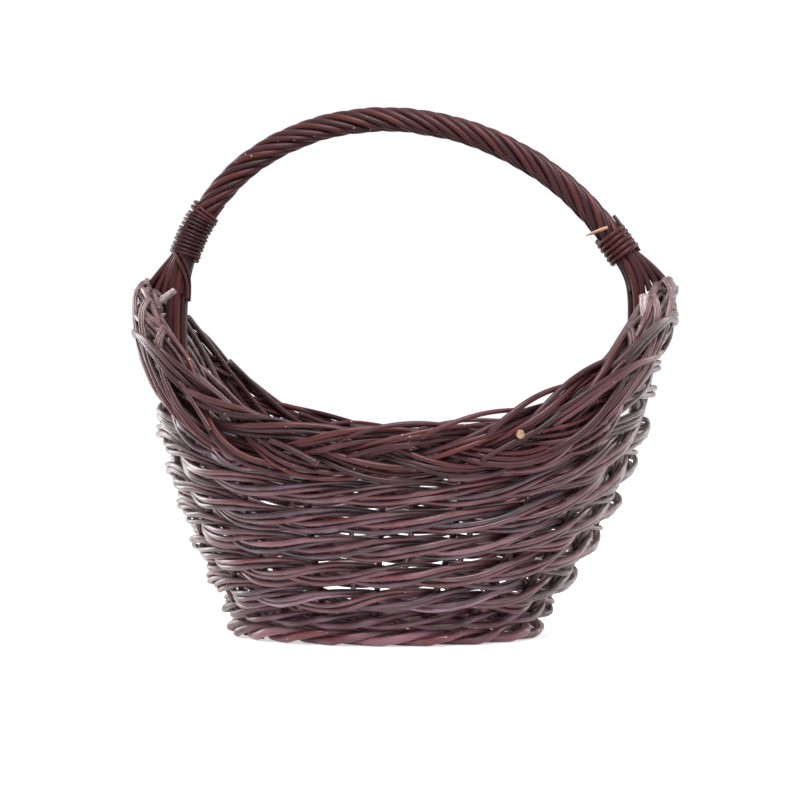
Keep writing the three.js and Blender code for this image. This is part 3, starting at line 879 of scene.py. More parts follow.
@dataclass
class Wale:
    """One round of three-rod wale: in front of two uprights, behind one."""

    form: BasketForm
    name: str
    bark: Bark
    level: float
    first_stake: int
    half_rise: float
    rod_size: float
    rods: int
    grower: Grower
    strands: int = 3
    float_share: float = 0.7
    fullness: float = 0.92
    end_gap: float = 3
    steps: int = 6
    in_and_out: tuple[float, ...] = (-1, 0, 1, 1, 1, 0)
    floats: tuple[float, ...] = (0, 0, 0, 1, 0, 0)
    up_and_down: tuple[float, ...] = (0, -1, -1, 0, 1, 1)
    round_share: float = 3
    ground_share: float = 1.06

    def strand(self, strand: int) -> list[Rod]:
        """The rods of one strand.

        Args:
            strand: which of the three.

        Returns:
            Its rods.
        """
        form = self.form
        reach = (form.stake_rod + self.rod_size) / 2 + form.clearance
        half_steps = 2 * self.strands * math.ceil((form.stakes - strand) / self.strands)
        step = 2 * math.pi / form.stakes
        ends = form.wall(np.array([0, step]), np.full(2, self.level))
        trim = self.end_gap / float(np.linalg.norm(ends[1] - ends[0]))
        place = np.linspace(trim, half_steps - trim, half_steps * self.steps)
        theta = (self.first_stake + strand + place / 2) * step
        level = np.full_like(theta, self.level)
        out = repeat_curve(self.in_and_out, place) * reach
        out = out + repeat_curve(self.floats, place) * self.float_share * self.rod_size
        up = repeat_curve(self.up_and_down, place) * self.half_rise
        along = place * form.rim_length / half_steps * self.round_share
        grown = []
        for depth, rise in WALE_LAY.rods(self.grower.rng, self.rods, self.rod_size, along, out, up):
            made = self.grower.rod(form.on_wall(theta, level, depth, rise), self.rod_size * self.fullness)
            made.path[:, 2] = np.maximum(made.path[:, 2], self.ground_share * made.radius)
            grown.append(made)
        return grown

    def pieces(self) -> list[RodPiece]:
        """The three strands as pieces."""
        made = []
        for strand in range(self.strands):
            node = f"{self.name}_strand_{strand + 1}"
            made.append(RodPiece(f"{node}_rods", self.bark, node, self.strand(strand)))
        return made


@dataclass
class Uprights:
    """The stakes that carry the weave; their tops are bent over and run along the rim."""

    form: BasketForm
    grower: Grower
    bend: tuple[tuple[float, float, float], ...] = (
        (0.12, -0.45, 0.0), (0.42, 0.05, 1.0), (0.9, 0.5, 1.5), (1.4, 0.82, 1.5), (1.9, 0.9, 1.0))
    low_share: float = 1.15
    reach_spread: tuple[float, float] = (0.88, 1.12)
    lift_spread: tuple[float, float] = (0.85, 1.1)
    points: int = 14
    steps: int = 6

    def path(self, count: int) -> np.ndarray:
        """Middle line of one stake.

        Args:
            count: which stake.

        Returns:
            Points from the ground to the bent tip.
        """
        form = self.form
        step = 2 * math.pi / form.stakes
        at = np.full(1, count * step)
        low = float(form.level_at(at, form.border_height(at) - self.low_share * form.plait_swing)[0])
        stem = form.wall(np.full(self.points, at[0]), np.linspace(form.clearance, low, self.points))
        reach = self.grower.rng.uniform(*self.reach_spread)
        lift = self.grower.rng.uniform(*self.lift_spread)
        turn, up, out = (np.array(column) for column in zip(*self.bend))
        top = form.on_rim(at + turn * reach * step, out, up * lift * form.plait_swing)
        return through(np.concatenate([stem, top]), self.steps)

    def pieces(self) -> list[RodPiece]:
        """Every stake as a piece of its own."""
        made = []
        for count in range(self.form.stakes):
            node = f"stake_{count + 1}"
            rod = self.grower.rod(self.path(count), self.form.stake_rod)
            made.append(RodPiece(f"{node}_rod", Bark.STAKE, node, [rod]))
        return made


@dataclass
class EndPacking:
    """The ends: a doubled rod woven to and fro on the end uprights, and single rods that fill beside it."""

    form: BasketForm
    grower: Grower
    gap: float = 0.2
    tuck: float = 0.8
    turn_share: float = 0.7
    turn_room: float = 0.1
    steps: int = 8
    fullness: float = 1.08
    lane_share: float = 1.02
    lane_wander: tuple[float, float] = (150, 0.08)
    points: int = 24
    stake_run: float = 30
    infill_share: float = 0.9
    infill_rows: int = 10
    infill_long: int = 6
    infill_reach: float = 4.7
    infill_steps: tuple[float, float] = (0.12, 0.5)
    infill_tuck: float = 0.6
    infill_first: float = 0.3
    infill_least: float = 0.5
    infill_float: float = 0.4
    infill_wander: tuple[float, float] = (70, 0.6)
    row_share: float = 0.88
    row_reach_up: int = 3
    row_reach_down: int = 2
    row_tail: float = 0.15
    row_slack: float = 0.3
    row_bounds: tuple[float, float] = (-0.3, 0.45)
    row_wander: tuple[float, float] = (80, 0.5)

    def room(self, theta: float) -> tuple[float, float]:
        """The space for packing at an upright.

        Args:
            theta: the upright's angle.

        Returns:
            Height where it starts and its height.
        """
        form = self.form
        at = np.array([theta])
        floor = form.foot_top + (form.band_top - form.foot_top) * float(form.lift(at)[0])
        along = form.rim_axes(at)[0][0]
        tilt = math.sqrt(1 - along[2] ** 2)
        edge = self.tuck * form.border_half + self.gap
        return floor, float(form.border_height(at)[0]) - edge / tilt - floor

    def path(self, end_stake: int) -> tuple[np.ndarray, np.ndarray]:
        """Middle line of the packing rods at one end.

        Args:
            end_stake: number of the upright at that end.

        Returns:
            Points and the directions up the wall there.
        """
        form = self.form
        step = 2 * math.pi / form.stakes
        pitch = 2 * form.wale_rod + form.clearance + self.gap
        reach = (form.stake_rod + form.wale_rod) / 2 + 2 * form.clearance
        points, ups = [], []

        def put(stake: int, out: float, along: float, row: float) -> None:
            """Adds a point beside an upright."""
            theta = (end_stake + stake) * step
            at = np.array([theta])
            level = form.level_at(at, self.room(theta)[0] + (row + 0.5) * pitch)
            axes = form.wall_axes(at, level)
            points.append(form.wall(at, level)[0] + axes[1][0] * out * reach + axes[0][0] * along * reach)
            ups.append(axes[2][0])

        def row_reach(row: int) -> int:
            """How many uprights to each side a row reaches."""
            stake = 0
            while (row + 1) * pitch < self.room((end_stake + stake + 1 + self.turn_room) * step)[1]:
                stake += 1
            return stake

        direction, side, row = 1, 1, 0
        stake = -row_reach(0)
        while row_reach(row) > 0:
            goal = direction * row_reach(row)
            put(stake, side, 0, row)
            while stake != goal:
                stake += direction
                side = -side
                put(stake, side, 0, row)
            if row_reach(row + 1) > 0:
                put(stake, side * self.turn_share, direction, row + 1 / 3)
                put(stake, -side * self.turn_share, direction, row + 2 / 3)
            side, direction, row = -side, -direction, row + 1
        return np.array(points), np.array(ups)

    def infill(self, end_stake: int) -> list[Rod]:
        """Single rods woven along the underside of the border, which close the gap above the packing.

        Args:
            end_stake: number of the upright at that end.

        Returns:
            The rods.
        """
        form = self.form
        size = self.infill_share * form.wale_rod
        reach = (form.stake_rod + size) / 2 + form.clearance
        usual, steep = self.infill_steps
        grown = []
        for row in range(self.infill_rows):
            half = self.infill_reach - usual * row - steep * max(row - self.infill_long, 0)
            spot = np.linspace(-half, half, int(half * self.points))
            theta = (end_stake + spot) * 2 * math.pi / form.stakes
            floor, high = np.array([self.room(angle) for angle in theta]).T
            high = high + self.infill_tuck * form.border_half
            z = floor + np.maximum(high - (row + self.infill_first) * size, self.infill_least * size)
            z = z + wander(self.grower.rng, spot * self.stake_run, *self.infill_wander)
            side = np.cos(math.pi * (spot + row))
            out = side * np.where(side > 0, reach + self.infill_float * size, reach)
            path = form.on_wall(theta, form.level_at(theta, z), out, np.zeros_like(out))
            grown.append(self.grower.rod(path, size))
        return grown

    def rows(self, end_stake: int) -> list[Rod]:
        """Single rods woven above and below each round, where the rounds part towards the end.

        A rod that would end outside an upright runs on and ends behind the next one.

        Args:
            end_stake: number of the upright at that end.

        Returns:
            The rods.
        """
        form = self.form
        size = self.row_share * form.wale_rod
        reach = (form.stake_rod + size) / 2 + form.clearance
        rounds = [(form.foot_level, form.foot_half_rise + form.foot_rod / 2),
                  (form.upsett_level, form.upsett_half_rise + form.upsett_rod / 2)]
        rounds += [(level, form.band_half) for level in form.band_levels]
        grown = []
        for row, (level, half) in enumerate(rounds[1:]):
            below, below_half = rounds[row]
            topmost = level == form.band_levels[-1]
            for way, far in ((1, self.row_reach_up + topmost), (-1, self.row_reach_down)):
                shift = row + (way < 0)
                ends_outside = (far + shift) % 2 == 0
                far += self.row_tail + ends_outside
                spot = np.linspace(-far, far, int(far * self.points))
                theta = (end_stake + spot) * 2 * math.pi / form.stakes
                levels = np.full_like(theta, level)
                apart = form.wall(theta, levels) - form.wall(theta, np.full_like(theta, below))
                gap = np.linalg.norm(apart, axis=1) - half - below_half
                least, most = self.row_bounds
                snug = np.clip(gap / 2 - self.row_slack, least * size, most * size)
                side = np.cos(math.pi * (spot + shift))
                rise = way * (half + snug) + wander(self.grower.rng, spot * self.stake_run, *self.row_wander)
                grown.append(self.grower.rod(form.on_wall(theta, levels, side * reach, rise), size))
        return grown

    def pieces(self) -> list[RodPiece]:
        """The packing of both ends and the rods that close the gaps beside it."""
        form = self.form
        made = []
        for node, stake in (("end_packing_right", 0), ("end_packing_left", form.stakes // 2)):
            points, ups = self.path(stake)
            dense, up = through(points, self.steps), unit(through(ups, self.steps))
            along = distances(dense)
            rods = []
            for side in (-0.5, 0.5):
                share = self.lane_share + wander(self.grower.rng, along, *self.lane_wander)
                lane = side * form.wale_rod * share
                rods.append(self.grower.rod(dense + lane[:, None] * up, form.wale_rod * self.fullness))
            made.append(RodPiece(f"{node}_rods", Bark.WALE, node, rods))
            made.append(RodPiece(f"{node}_infill", Bark.WALE, "", self.infill(stake)))
            made.append(RodPiece(f"{node}_rows", Bark.WALE, "", self.rows(stake)))
        return made


@dataclass
class Border:
    """The plaited rim: five strands of three rods, laid as long bundles that run on round the rim."""

    form: BasketForm
    grower: Grower
    strands: int = 5
    repeats: int = 5
    lengths: int = 3
    rods: int = 3
    rod_size: float = 4.5
    swing_share: float = 0.97
    start: float = -math.pi / 4
    end_gap: float = 3
    steps: int = 10
    stroke_run: float = 50

    def bundle(self, count: int) -> list[Rod]:
        """The rods of one length of the plait.

        Args:
            count: which length.

        Returns:
            Its rods.
        """
        form = self.form
        strokes = self.strands * self.repeats - 1
        step = 2 * math.pi / strokes
        turns = self.strands * strokes / self.lengths
        rim = form.rim(np.array([0, step]))
        trim = self.end_gap / (2 * float(np.linalg.norm(rim[1] - rim[0])))
        turn = count * turns + np.linspace(trim, turns - trim, int(turns * self.steps))
        phase = self.start + 2 * math.pi * turn / self.strands
        theta = math.pi / 2 + turn * step
        out = form.border_out + form.plait_depth * np.sin(2 * phase)
        up = self.swing_share * form.plait_swing * np.sin(phase)
        lay = PLAIT_LAY.rods(self.grower.rng, self.rods, self.rod_size, turn * self.stroke_run, out, up)
        return [self.grower.rod(form.on_rim(theta, depth, rise), self.rod_size) for depth, rise in lay]

    def pieces(self) -> list[RodPiece]:
        """The three lengths as pieces."""
        made = []
        for count in range(self.lengths):
            node = f"border_strand_{count + 1}"
            made.append(RodPiece(f"{node}_rods", Bark.BORDER, node, self.bundle(count)))
        return made


@dataclass
class LooseEnds:
    """Loose rods of the border: lengths on the plait, arcs on its top, falls and hooks at its ends, cut rods.

    Angles are in degrees round the rim; heights are above the rim's middle, and depths stand out from it.
    """

    form: BasketForm
    grower: Grower
    lengths: tuple[tuple[float, float, float, float], ...] = (
        (-114, 6, -103, -7), (-97, -2, -84, 9), (-70, -7, -58, 6), (-140, 9, -128, -5), (64, -4, 78, 8),
        (103, 7, 116, -5), (-44, 2, -34, 11))
    arcs: tuple[tuple[float, float, float, float], ...] = (
        (-98, -70, 12, 13), (-82, -54, 14, 15), (-68, -42, 12, 17), (-60, -34, 10, 15), (-126, -102, 12, 10),
        (62, 92, 12, 12), (100, 130, 12, 11), (40, 66, 12, 12))
    falls: tuple[tuple[float, float], ...] = (
        (-175, 42), (-166, 40), (-155, 36), (-5, -42), (-14, -40), (-25, -36), (6, 42), (19, 38), (174, -42),
        (161, -38))
    fall_line: tuple[tuple[float, float, float], ...] = (
        (0.0, -0.9, -0.4), (0.02, -0.85, 0.5), (0.06, -0.2, 1.0), (0.13, 0.7, 0.75), (0.26, 1.0, 0.15),
        (0.46, 1.0, -0.4), (0.72, 0.8, -0.75), (1.0, -0.5, -0.9))
    hooks: tuple[tuple[float, float], ...] = ((-9, -32), (-24, -32), (-165, 30), (14, 32), (166, -30))
    hook_line: tuple[tuple[float, float, float], ...] = (
        (0.0, -0.2, -0.85), (0.05, 0.7, -0.7), (0.16, 1.2, -0.25), (0.32, 1.35, 0.2), (0.52, 1.3, 0.45),
        (0.76, 1.0, 0.45), (1.0, -0.2, 0.2))
    stubs: tuple[tuple[float, float], ...] = ((-63, 8), (38, 4), (131, -3))
    stumps: tuple[tuple[float, float, float, float, float, float, float], ...] = (
        (-169, -3, 9, -169, -16, 20, 7), (-23, 12, 10, -17, 4, 24, 8.5))
    rod_size: float = 4.6
    length_points: int = 24
    length_lift: float = 0.5
    length_bow: float = 2
    arc_points: int = 40
    arc_fullness: float = 0.8
    fall_rods: int = 2
    hook_rods: int = 3
    lane_share: float = 1.08
    height_spread: float = 1
    line_steps: int = 10
    cut_points: int = 8
    stub_size: float = 6.4
    stub_length: float = 1.2
    stub_lean: float = 0.25
    # The stumps take more of the pale grey, partly wear and partly painted side light.
    stump_wear_and_side_light: float = 4.0

    def along(self, start: float, low: float, end: float, high: float) -> Rod:
        """A short length laid on the outside of the plait.

        Args:
            start: angle of its first end.
            low: height of that end.
            end: angle of its other end.
            high: height of that end.

        Returns:
            The rod.
        """
        form = self.form
        count = self.length_points
        theta = np.radians(np.linspace(start, end, count))
        out = form.border_out + form.plait_depth + form.border_rod * np.linspace(0.0, self.length_lift, count)
        up = np.linspace(low, high, count) + self.length_bow * np.sin(np.linspace(0, math.pi, count))
        return self.grower.rod(form.on_rim(theta, out, up), self.rod_size)

    def arc(self, start: float, end: float, low: float, rise: float) -> Rod:
        """A rod that leaves the plait, runs along its top and goes back in.

        Args:
            start: angle where it leaves.
            end: angle where it goes in.
            low: height of both ends.
            rise: how far its middle stands above them.

        Returns:
            The rod.
        """
        form = self.form
        share = np.linspace(0, 1, self.arc_points)
        theta = np.radians(start + (end - start) * share)
        out = form.border_out + form.plait_depth * np.cos(math.pi * share)
        up = low + rise * np.sin(math.pi * share) ** self.arc_fullness
        return self.grower.rod(form.on_rim(theta, out, up), self.rod_size)

    def over(self, rods: int, line: tuple[tuple[float, float, float], ...], start: float,
             sweep: float) -> list[Rod]:
        """Rods side by side that cross the face of the border.

        Args:
            rods: how many.
            line: share of the sweep, depth and height of each point of their way.
            start: angle where they start.
            sweep: angle they run on for.

        Returns:
            The rods.
        """
        form = self.form
        share, out, up = (np.array(column) for column in zip(*line))
        lean = form.border_out + out * (form.plait_depth + self.rod_size / 2)
        around = np.linalg.norm(form.rim(np.radians([start]))[0][:2])
        grown = []
        for rod in range(rods):
            apart = (rod - (rods - 1) / 2) * self.lane_share * self.rod_size
            ahead = math.copysign(1, sweep) * apart * (1 - share) / around
            rise = up * form.border_half + apart * np.sqrt(share)
            rise = rise + self.grower.rng.uniform(-self.height_spread, self.height_spread)
            points = form.on_rim(np.radians(start + sweep * share) + ahead, lean, rise)
            grown.append(self.grower.rod(through(points, self.line_steps), self.rod_size))
        return grown

    def stub(self, angle: float, up: float) -> Rod:
        """A rod cut off where it comes out through the plait.

        Args:
            angle: its angle.
            up: its height.

        Returns:
            The rod.
        """
        form = self.form
        theta = np.full(self.cut_points, math.radians(angle))
        along, out_axis, up_axis = form.rim_axes(theta)
        far = form.border_out + form.plait_depth + self.stub_length * form.border_rod
        out = np.linspace(form.border_out, far, self.cut_points)[:, None]
        path = form.rim(theta) + out * (out_axis + self.stub_lean * along) + up * up_axis
        return self.grower.rod(path, self.stub_size)

    def stump(self, angle: float, out: float, up: float, last_angle: float, last_out: float, last_up: float,
              size: float) -> Rod:
        """A thick rod cut off beside the handle's foot.

        Args:
            angle: angle of its lower end.
            out: depth of its lower end.
            up: height of its lower end.
            last_angle: angle of its cut end.
            last_out: depth of its cut end.
            last_up: height of its cut end.
            size: its thickness.

        Returns:
            The rod.
        """
        count = self.cut_points
        theta = np.radians(np.linspace(angle, last_angle, count))
        path = self.form.on_rim(theta, np.linspace(out, last_out, count), np.linspace(up, last_up, count))
        return self.grower.rod(path, size, 1.0)

    def pieces(self) -> list[RodPiece]:
        """The loose rods, kind by kind."""
        lengths = [self.along(*length) for length in self.lengths]
        arcs = [self.arc(*arc) for arc in self.arcs]
        falls = [rod for fall in self.falls for rod in self.over(self.fall_rods, self.fall_line, *fall)]
        hooks = [rod for hook in self.hooks for rod in self.over(self.hook_rods, self.hook_line, *hook)]
        stubs = [self.stub(*stub) for stub in self.stubs]
        stumps = [self.stump(*stump) for stump in self.stumps]
        return [RodPiece("border_loose_ends", Bark.BORDER, "", lengths),
                RodPiece("border_top_rods", Bark.BORDER, "", arcs),
                RodPiece("border_end_falls", Bark.BORDER, "", falls),
                RodPiece("border_end_hooks", Bark.BORDER, "", hooks),
                RodPiece("border_cut_stubs", Bark.BORDER, "", stubs, cut=Cut.FRESH),
                RodPiece("border_stumps", Bark.BORDER, "", stumps, wear_and_side_light=self.stump_wear_and_side_light)]


@dataclass
class Handle:
    """The bow: a core rod, four pairs of roping rods twisted round it and a lashing on each foot."""

    form: BasketForm
    grower: Grower
    height: float = 464
    arc: float = math.radians(72)
    apex_offset: float = -20
    foot_depth: float = 75
    core_rod: float = 8
    roping_rod: float = 5.4
    roping_pairs: int = 4
    roping_lay: float = 130
    roping_steps: int = 7
    outer_lean: float = math.radians(30)
    outer_tuck: float = 12
    splay: float = 0.45
    left_rod: float = 2.7
    left_turns: int = 11
    right_rod: float = 3.8
    right_turns: int = 5
    lashing_gap: float = 0.85
    lashing_height: float = 22
    lashing_fullness: float = 0.8
    foot_points: int = 3
    arc_points: int = 15
    bow_steps: int = 40
    core_points: int = 160
    roping_points: int = 300
    roping_spread: float = 1.02
    roping_fullness: float = 1.08
    roping_sides: int = 12
    roping_wander: tuple[float, float] = (140, 0.25)
    outer_side: float = -0.25
    outer_step: float = 0.3
    bend_run: float = 3
    turn_points: int = 28
    turn_tuck: float = 0.06
    turn_run: float = 80
    turn_wander: tuple[float, float] = (300, 0.3)
    turn_reach_wander: tuple[float, float] = (130, 0.3)
    fillers: tuple[tuple[float, float], ...] = ((0.4, 0.66), (0.34, 0.33), (0.125, 0.0))
    filler_points: int = 40
    filler_tuck: float = 4
    tail_points: int = 30
    tail_fullness: float = 0.5
    tail_bend: float = 2.2
    spare_rod: float = 4.6
    splinter_gap: float = 4
    splinter_points: int = 20
    splinter_length: float = 7
    splinter_turns: tuple[float, float] = (-0.27, 0.25)
    splinter_lift: tuple[float, float] = (1.2, 5)
    splinter_shape: tuple[tuple[float, float], ...] = ((0, 1.7), (0.2, 1.8), (0.7, 1.4), (1, 0.3))

    @cached_property
    def roping_radius(self) -> float:
        """Distance of the roping rods from the bow's middle."""
        shoulder = self.roping_rod / (self.core_rod + self.roping_rod)
        cut = math.cos(shoulder) * math.cos(math.pi / self.roping_steps)
        return (self.core_rod / 2 + self.form.clearance) / cut + self.roping_rod / 2

    @cached_property
    def radius(self) -> float:
        """Half the thickness of the roped handle."""
        return self.roping_radius + self.roping_rod / 2

    def foot_point(self, theta: float, z: float, inset: float) -> np.ndarray:
        """A point of the handle's foot, inside the wall.

        Args:
            theta: angle of that end.
            z: its height.
            inset: its distance from the uprights.

        Returns:
            The point.
        """
        form = self.form
        at = np.array([theta])
        level = form.level_at(at, np.array([z]))
        return form.wall(at, level)[0] - form.wall_axes(at, level)[1][0] * inset

    @cached_property
    def corners(self) -> np.ndarray:
        """Points the bow passes, from its left foot over the arc to its right foot."""
        form = self.form
        join = float(form.border_height(np.zeros(1))[0])
        spring = join + form.border_half
        weave = form.stake_rod / 2 + 2 * form.clearance + form.wale_rod
        inset = weave + self.roping_radius * math.sin(self.roping_rod / self.roping_radius)
        lean = weave + self.radius - form.stake_rod / 2
        right, left = self.foot_point(0, spring, lean), self.foot_point(math.pi, spring, lean)
        rise = (self.height - self.radius - right[2]) / (1 - math.cos(self.arc))
        depths = [self.foot_depth * (1 - k / self.foot_points) for k in range(self.foot_points)]
        points = [self.foot_point(math.pi, join - depth, inset) for depth in depths]
        for k in range(self.arc_points):
            angle = self.arc * (2 * k / (self.arc_points - 1) - 1)
            share = (1 + math.sin(angle) / math.sin(self.arc)) / 2
            crown = (math.cos(angle) - math.cos(self.arc)) / (1 - math.cos(self.arc))
            x = left[0] + (right[0] - left[0]) * share + self.apex_offset * crown
            points.append(np.array([x, 0, right[2] + rise * (math.cos(angle) - math.cos(self.arc))]))
        points += [self.foot_point(0, join - depth, inset) for depth in reversed(depths)]
        return np.array(points)

    @cached_property
    def bow(self) -> np.ndarray:
        """Points of the bow's middle line, a millimetre apart."""
        dense = through(self.corners, self.bow_steps)
        along = distances(dense)
        even = np.linspace(0, along[-1], int(along[-1]) + 1)
        return np.stack([np.interp(even, along, dense[:, k]) for k in range(3)], -1)

    @cached_property
    def length(self) -> float:
        """Length of the bow."""
        return float(np.linalg.norm(np.diff(self.bow, axis=0), axis=1).sum())

    @cached_property
    def border_top(self) -> float:
        """Distance along the bow from a foot to the top of the border."""
        return float(np.linalg.norm(np.diff(self.corners[: self.foot_points + 1], axis=0), axis=1).sum())

    @cached_property
    def lashing_start(self) -> float:
        """Distance along the bow from a foot to the lower end of its lashing."""
        return self.border_top + self.lashing_height

    def axes(self, distance: np.ndarray) -> tuple[np.ndarray, np.ndarray, np.ndarray]:
        """The bow at distances from its left foot.

        Args:
            distance: the distances.

        Returns:
            Points, the bow's direction there and the direction into its arc.
        """
        spot = np.clip(distance / self.length, 0, 1) * (len(self.bow) - 1)
        rows = np.arange(len(self.bow))
        heading = unit(np.gradient(self.bow, axis=0))
        point = np.stack([np.interp(spot, rows, self.bow[:, k]) for k in range(3)], -1)
        ahead = unit(np.stack([np.interp(spot, rows, heading[:, k]) for k in range(3)], -1))
        return point, ahead, np.cross([0, 1, 0], ahead)

    def round_bow(self, distance: np.ndarray, turn: np.ndarray, reach: np.ndarray) -> np.ndarray:
        """Points round the bow.

        Args:
            distance: distances from its left foot.
            turn: turns from the inside of the arc towards the back.
            reach: distances from the bow's middle.

        Returns:
            The points.
        """
        point, _, inward = self.axes(distance)
        path = point + (reach * np.cos(2 * math.pi * turn))[:, None] * inward
        path[:, 1] += reach * np.sin(2 * math.pi * turn)
        return path

    def roping(self, pair: int) -> list[Rod]:
        """The two rods of one roping pair.

        Args:
            pair: which pair.

        Returns:
            Its rods.
        """
        outer = math.cos(2 * math.pi * pair / self.roping_pairs) < self.outer_side
        first = self.border_top - self.outer_tuck if outer else 0.0
        distance = np.linspace(first, self.length - first, self.roping_points)
        twisted = self.length - 2 * self.lashing_start
        turns = max(1, round(twisted / self.roping_lay))
        share = np.clip((distance - self.lashing_start) / twisted, 0, 1)
        below = np.maximum(0, self.lashing_start - np.minimum(distance, self.length - distance))
        away = np.where(distance < self.length / 2, -1, 1)
        grown = []
        for side in (-0.5, 0.5):
            turn = pair / self.roping_pairs + turns * share
            turn = turn + side * self.roping_rod * self.roping_spread / self.roping_radius / (2 * math.pi)
            reach = self.roping_radius + wander(self.grower.rng, distance, *self.roping_wander)
            path = self.round_bow(distance, turn, reach)
            if outer:
                slope = math.tan(self.outer_lean) * (1 + self.outer_step * side)
                path[:, 0] += away * slope * below ** 2 / (below + self.bend_run)
            else:
                path[:, 1] *= 1 + self.splay * below / self.lashing_start
            grown.append(self.grower.rod(path, self.roping_rod * self.roping_fullness))
        return grown

    def lashing(self, start: float, turns: int, size: float) -> Rod:
        """One lashing rod wound round the roping, turn beside turn.

        Args:
            start: where it starts along the bow.
            turns: its number of turns.
            size: its thickness.

        Returns:
            The rod.
        """
        rng = self.grower.rng
        pitch = size + self.lashing_gap
        turn = np.linspace(-self.turn_tuck, turns + self.turn_tuck, turns * self.turn_points + 1)
        run = turn * self.turn_run
        place = start + pitch * turn + wander(rng, run, *self.turn_wander)
        reach = self.radius + self.form.clearance + size / 2 + wander(rng, run, *self.turn_reach_wander)
        size = size + self.lashing_fullness * self.lashing_gap
        return self.grower.rod(self.round_bow(place, turn, reach), size)

    def filler(self, foot: int, turn: float, lean: float) -> Rod:
        """A rod between two roping pairs below a lashing.

        Args:
            foot: minus one for the left foot and one for the right.
            turn: its place round the bow.
            lean: how far it leans outwards.

        Returns:
            The rod.
        """
        low = self.border_top - self.outer_tuck
        count = self.filler_points
        distance = np.linspace(self.lashing_start + self.filler_tuck, low, count)
        below = np.maximum(0, self.lashing_start - distance)
        place = distance if foot < 0 else self.length - distance
        path = self.round_bow(place, np.full(count, turn), np.full(count, self.roping_radius))
        path[:, 0] += foot * math.tan(lean) * below ** 2 / (below + self.bend_run)
        return self.grower.rod(path, self.roping_rod)

    def tail(self, places: tuple[float, float], turns: tuple[float, float], size: float, lift: float = 0.6,
             bend: float = 1.0) -> Rod:
        """A rod end led off slantwise from a lashing.

        Args:
            places: where it starts and ends along the bow.
            turns: where it starts and ends round the bow.
            size: its thickness.
            lift: how far it stands off the roping.
            bend: above one it starts along the bow and turns away late.

        Returns:
            The rod.
        """
        share = np.linspace(0, 1, self.tail_points)
        place = places[0] + (places[1] - places[0]) * share
        turn = turns[0] + (turns[1] - turns[0]) * share ** bend
        reach = np.full_like(share, self.radius + size / 2 + lift)
        return self.grower.rod(self.round_bow(place, turn, reach), size)

    def left_lashing(self) -> list[Rod]:
        """The left lashing: its turns, a doubled tail, a doubled crossing end and a spare rod end."""
        start, pitch = self.lashing_start, self.left_rod + self.lashing_gap
        end = start + self.left_turns * pitch
        size, late = self.left_rod + self.tail_fullness, self.tail_bend
        return [self.lashing(start, self.left_turns, self.left_rod),
                self.tail(places=(start - 40, start + 3), turns=(-0.03, -0.28), size=size, bend=late),
                self.tail(places=(start - 38, start + 1), turns=(-0.08, -0.34), size=size, bend=late),
                self.tail(places=(end + 0.5, end + 4), turns=(0.05, -0.62), size=size, lift=0.2),
                self.tail(places=(end + 3.5, end + 9), turns=(0.05, -0.65), size=size, lift=0.2),
                self.tail(places=(start + 10, end + 20), turns=(-0.07, -0.05), size=self.spare_rod,
                          lift=-2.2)]

    def right_lashing(self) -> list[Rod]:
        """The right lashing: its turns, a crossing end and the end of the rod they were wound over."""
        pitch = self.right_rod + self.lashing_gap
        end = self.length - self.lashing_start
        start = end - self.right_turns * pitch
        size = self.right_rod
        return [self.lashing(start, self.right_turns, size),
                self.tail(places=(start - 9, start + 1), turns=(-0.5, -0.45), size=size, lift=0.0),
                self.tail(places=(start + 2, end + 4), turns=(-0.49, -0.47), size=size, lift=0.0)]

    def splinter(self) -> Rod:
        """The pale split end that lies across the roping above the right lashing."""
        pitch = self.right_rod + self.lashing_gap
        start = self.length - self.lashing_start - self.right_turns * pitch - self.splinter_gap
        share = np.linspace(0, 1, self.splinter_points)
        turn = self.splinter_turns[0] + self.splinter_turns[1] * share
        reach = self.radius + self.splinter_lift[0] + self.splinter_lift[1] * share ** 2
        path = self.round_bow(start - self.splinter_length * share, turn, reach)
        return Rod(path, np.interp(share, *zip(*self.splinter_shape)), tint=0.5, seed=7)

    def pieces(self) -> list[RodPiece]:
        """The core, the roping pairs and the lashings as pieces."""
        distance = np.linspace(0, self.length, self.core_points)
        core = self.grower.rod(self.axes(distance)[0], self.core_rod)
        made = [RodPiece("handle_bow_rod", Bark.HANDLE, "handle_bow", [core])]
        for pair in range(self.roping_pairs):
            node = f"roping_pair_{pair + 1}"
            made.append(RodPiece(f"{node}_rods", Bark.HANDLE, node, self.roping(pair), self.roping_sides))
        fillers = [self.filler(foot, side * turn, self.outer_lean * lean)
                   for foot in (-1, 1) for side in (-1, 1) for turn, lean in self.fillers]
        made.append(RodPiece("handle_foot_fillers", Bark.HANDLE, "", fillers, self.roping_sides))
        made.append(RodPiece("lashing_left_rod", Bark.LASHING, "lashing_left", self.left_lashing()))
        made.append(RodPiece("lashing_right_rod", Bark.LASHING, "lashing_right", self.right_lashing()))
        made.append(RodPiece("lashing_splinter", Bark.LASHING, "", [self.splinter()], cut=Cut.FRESH,
                             split=True))
        return made


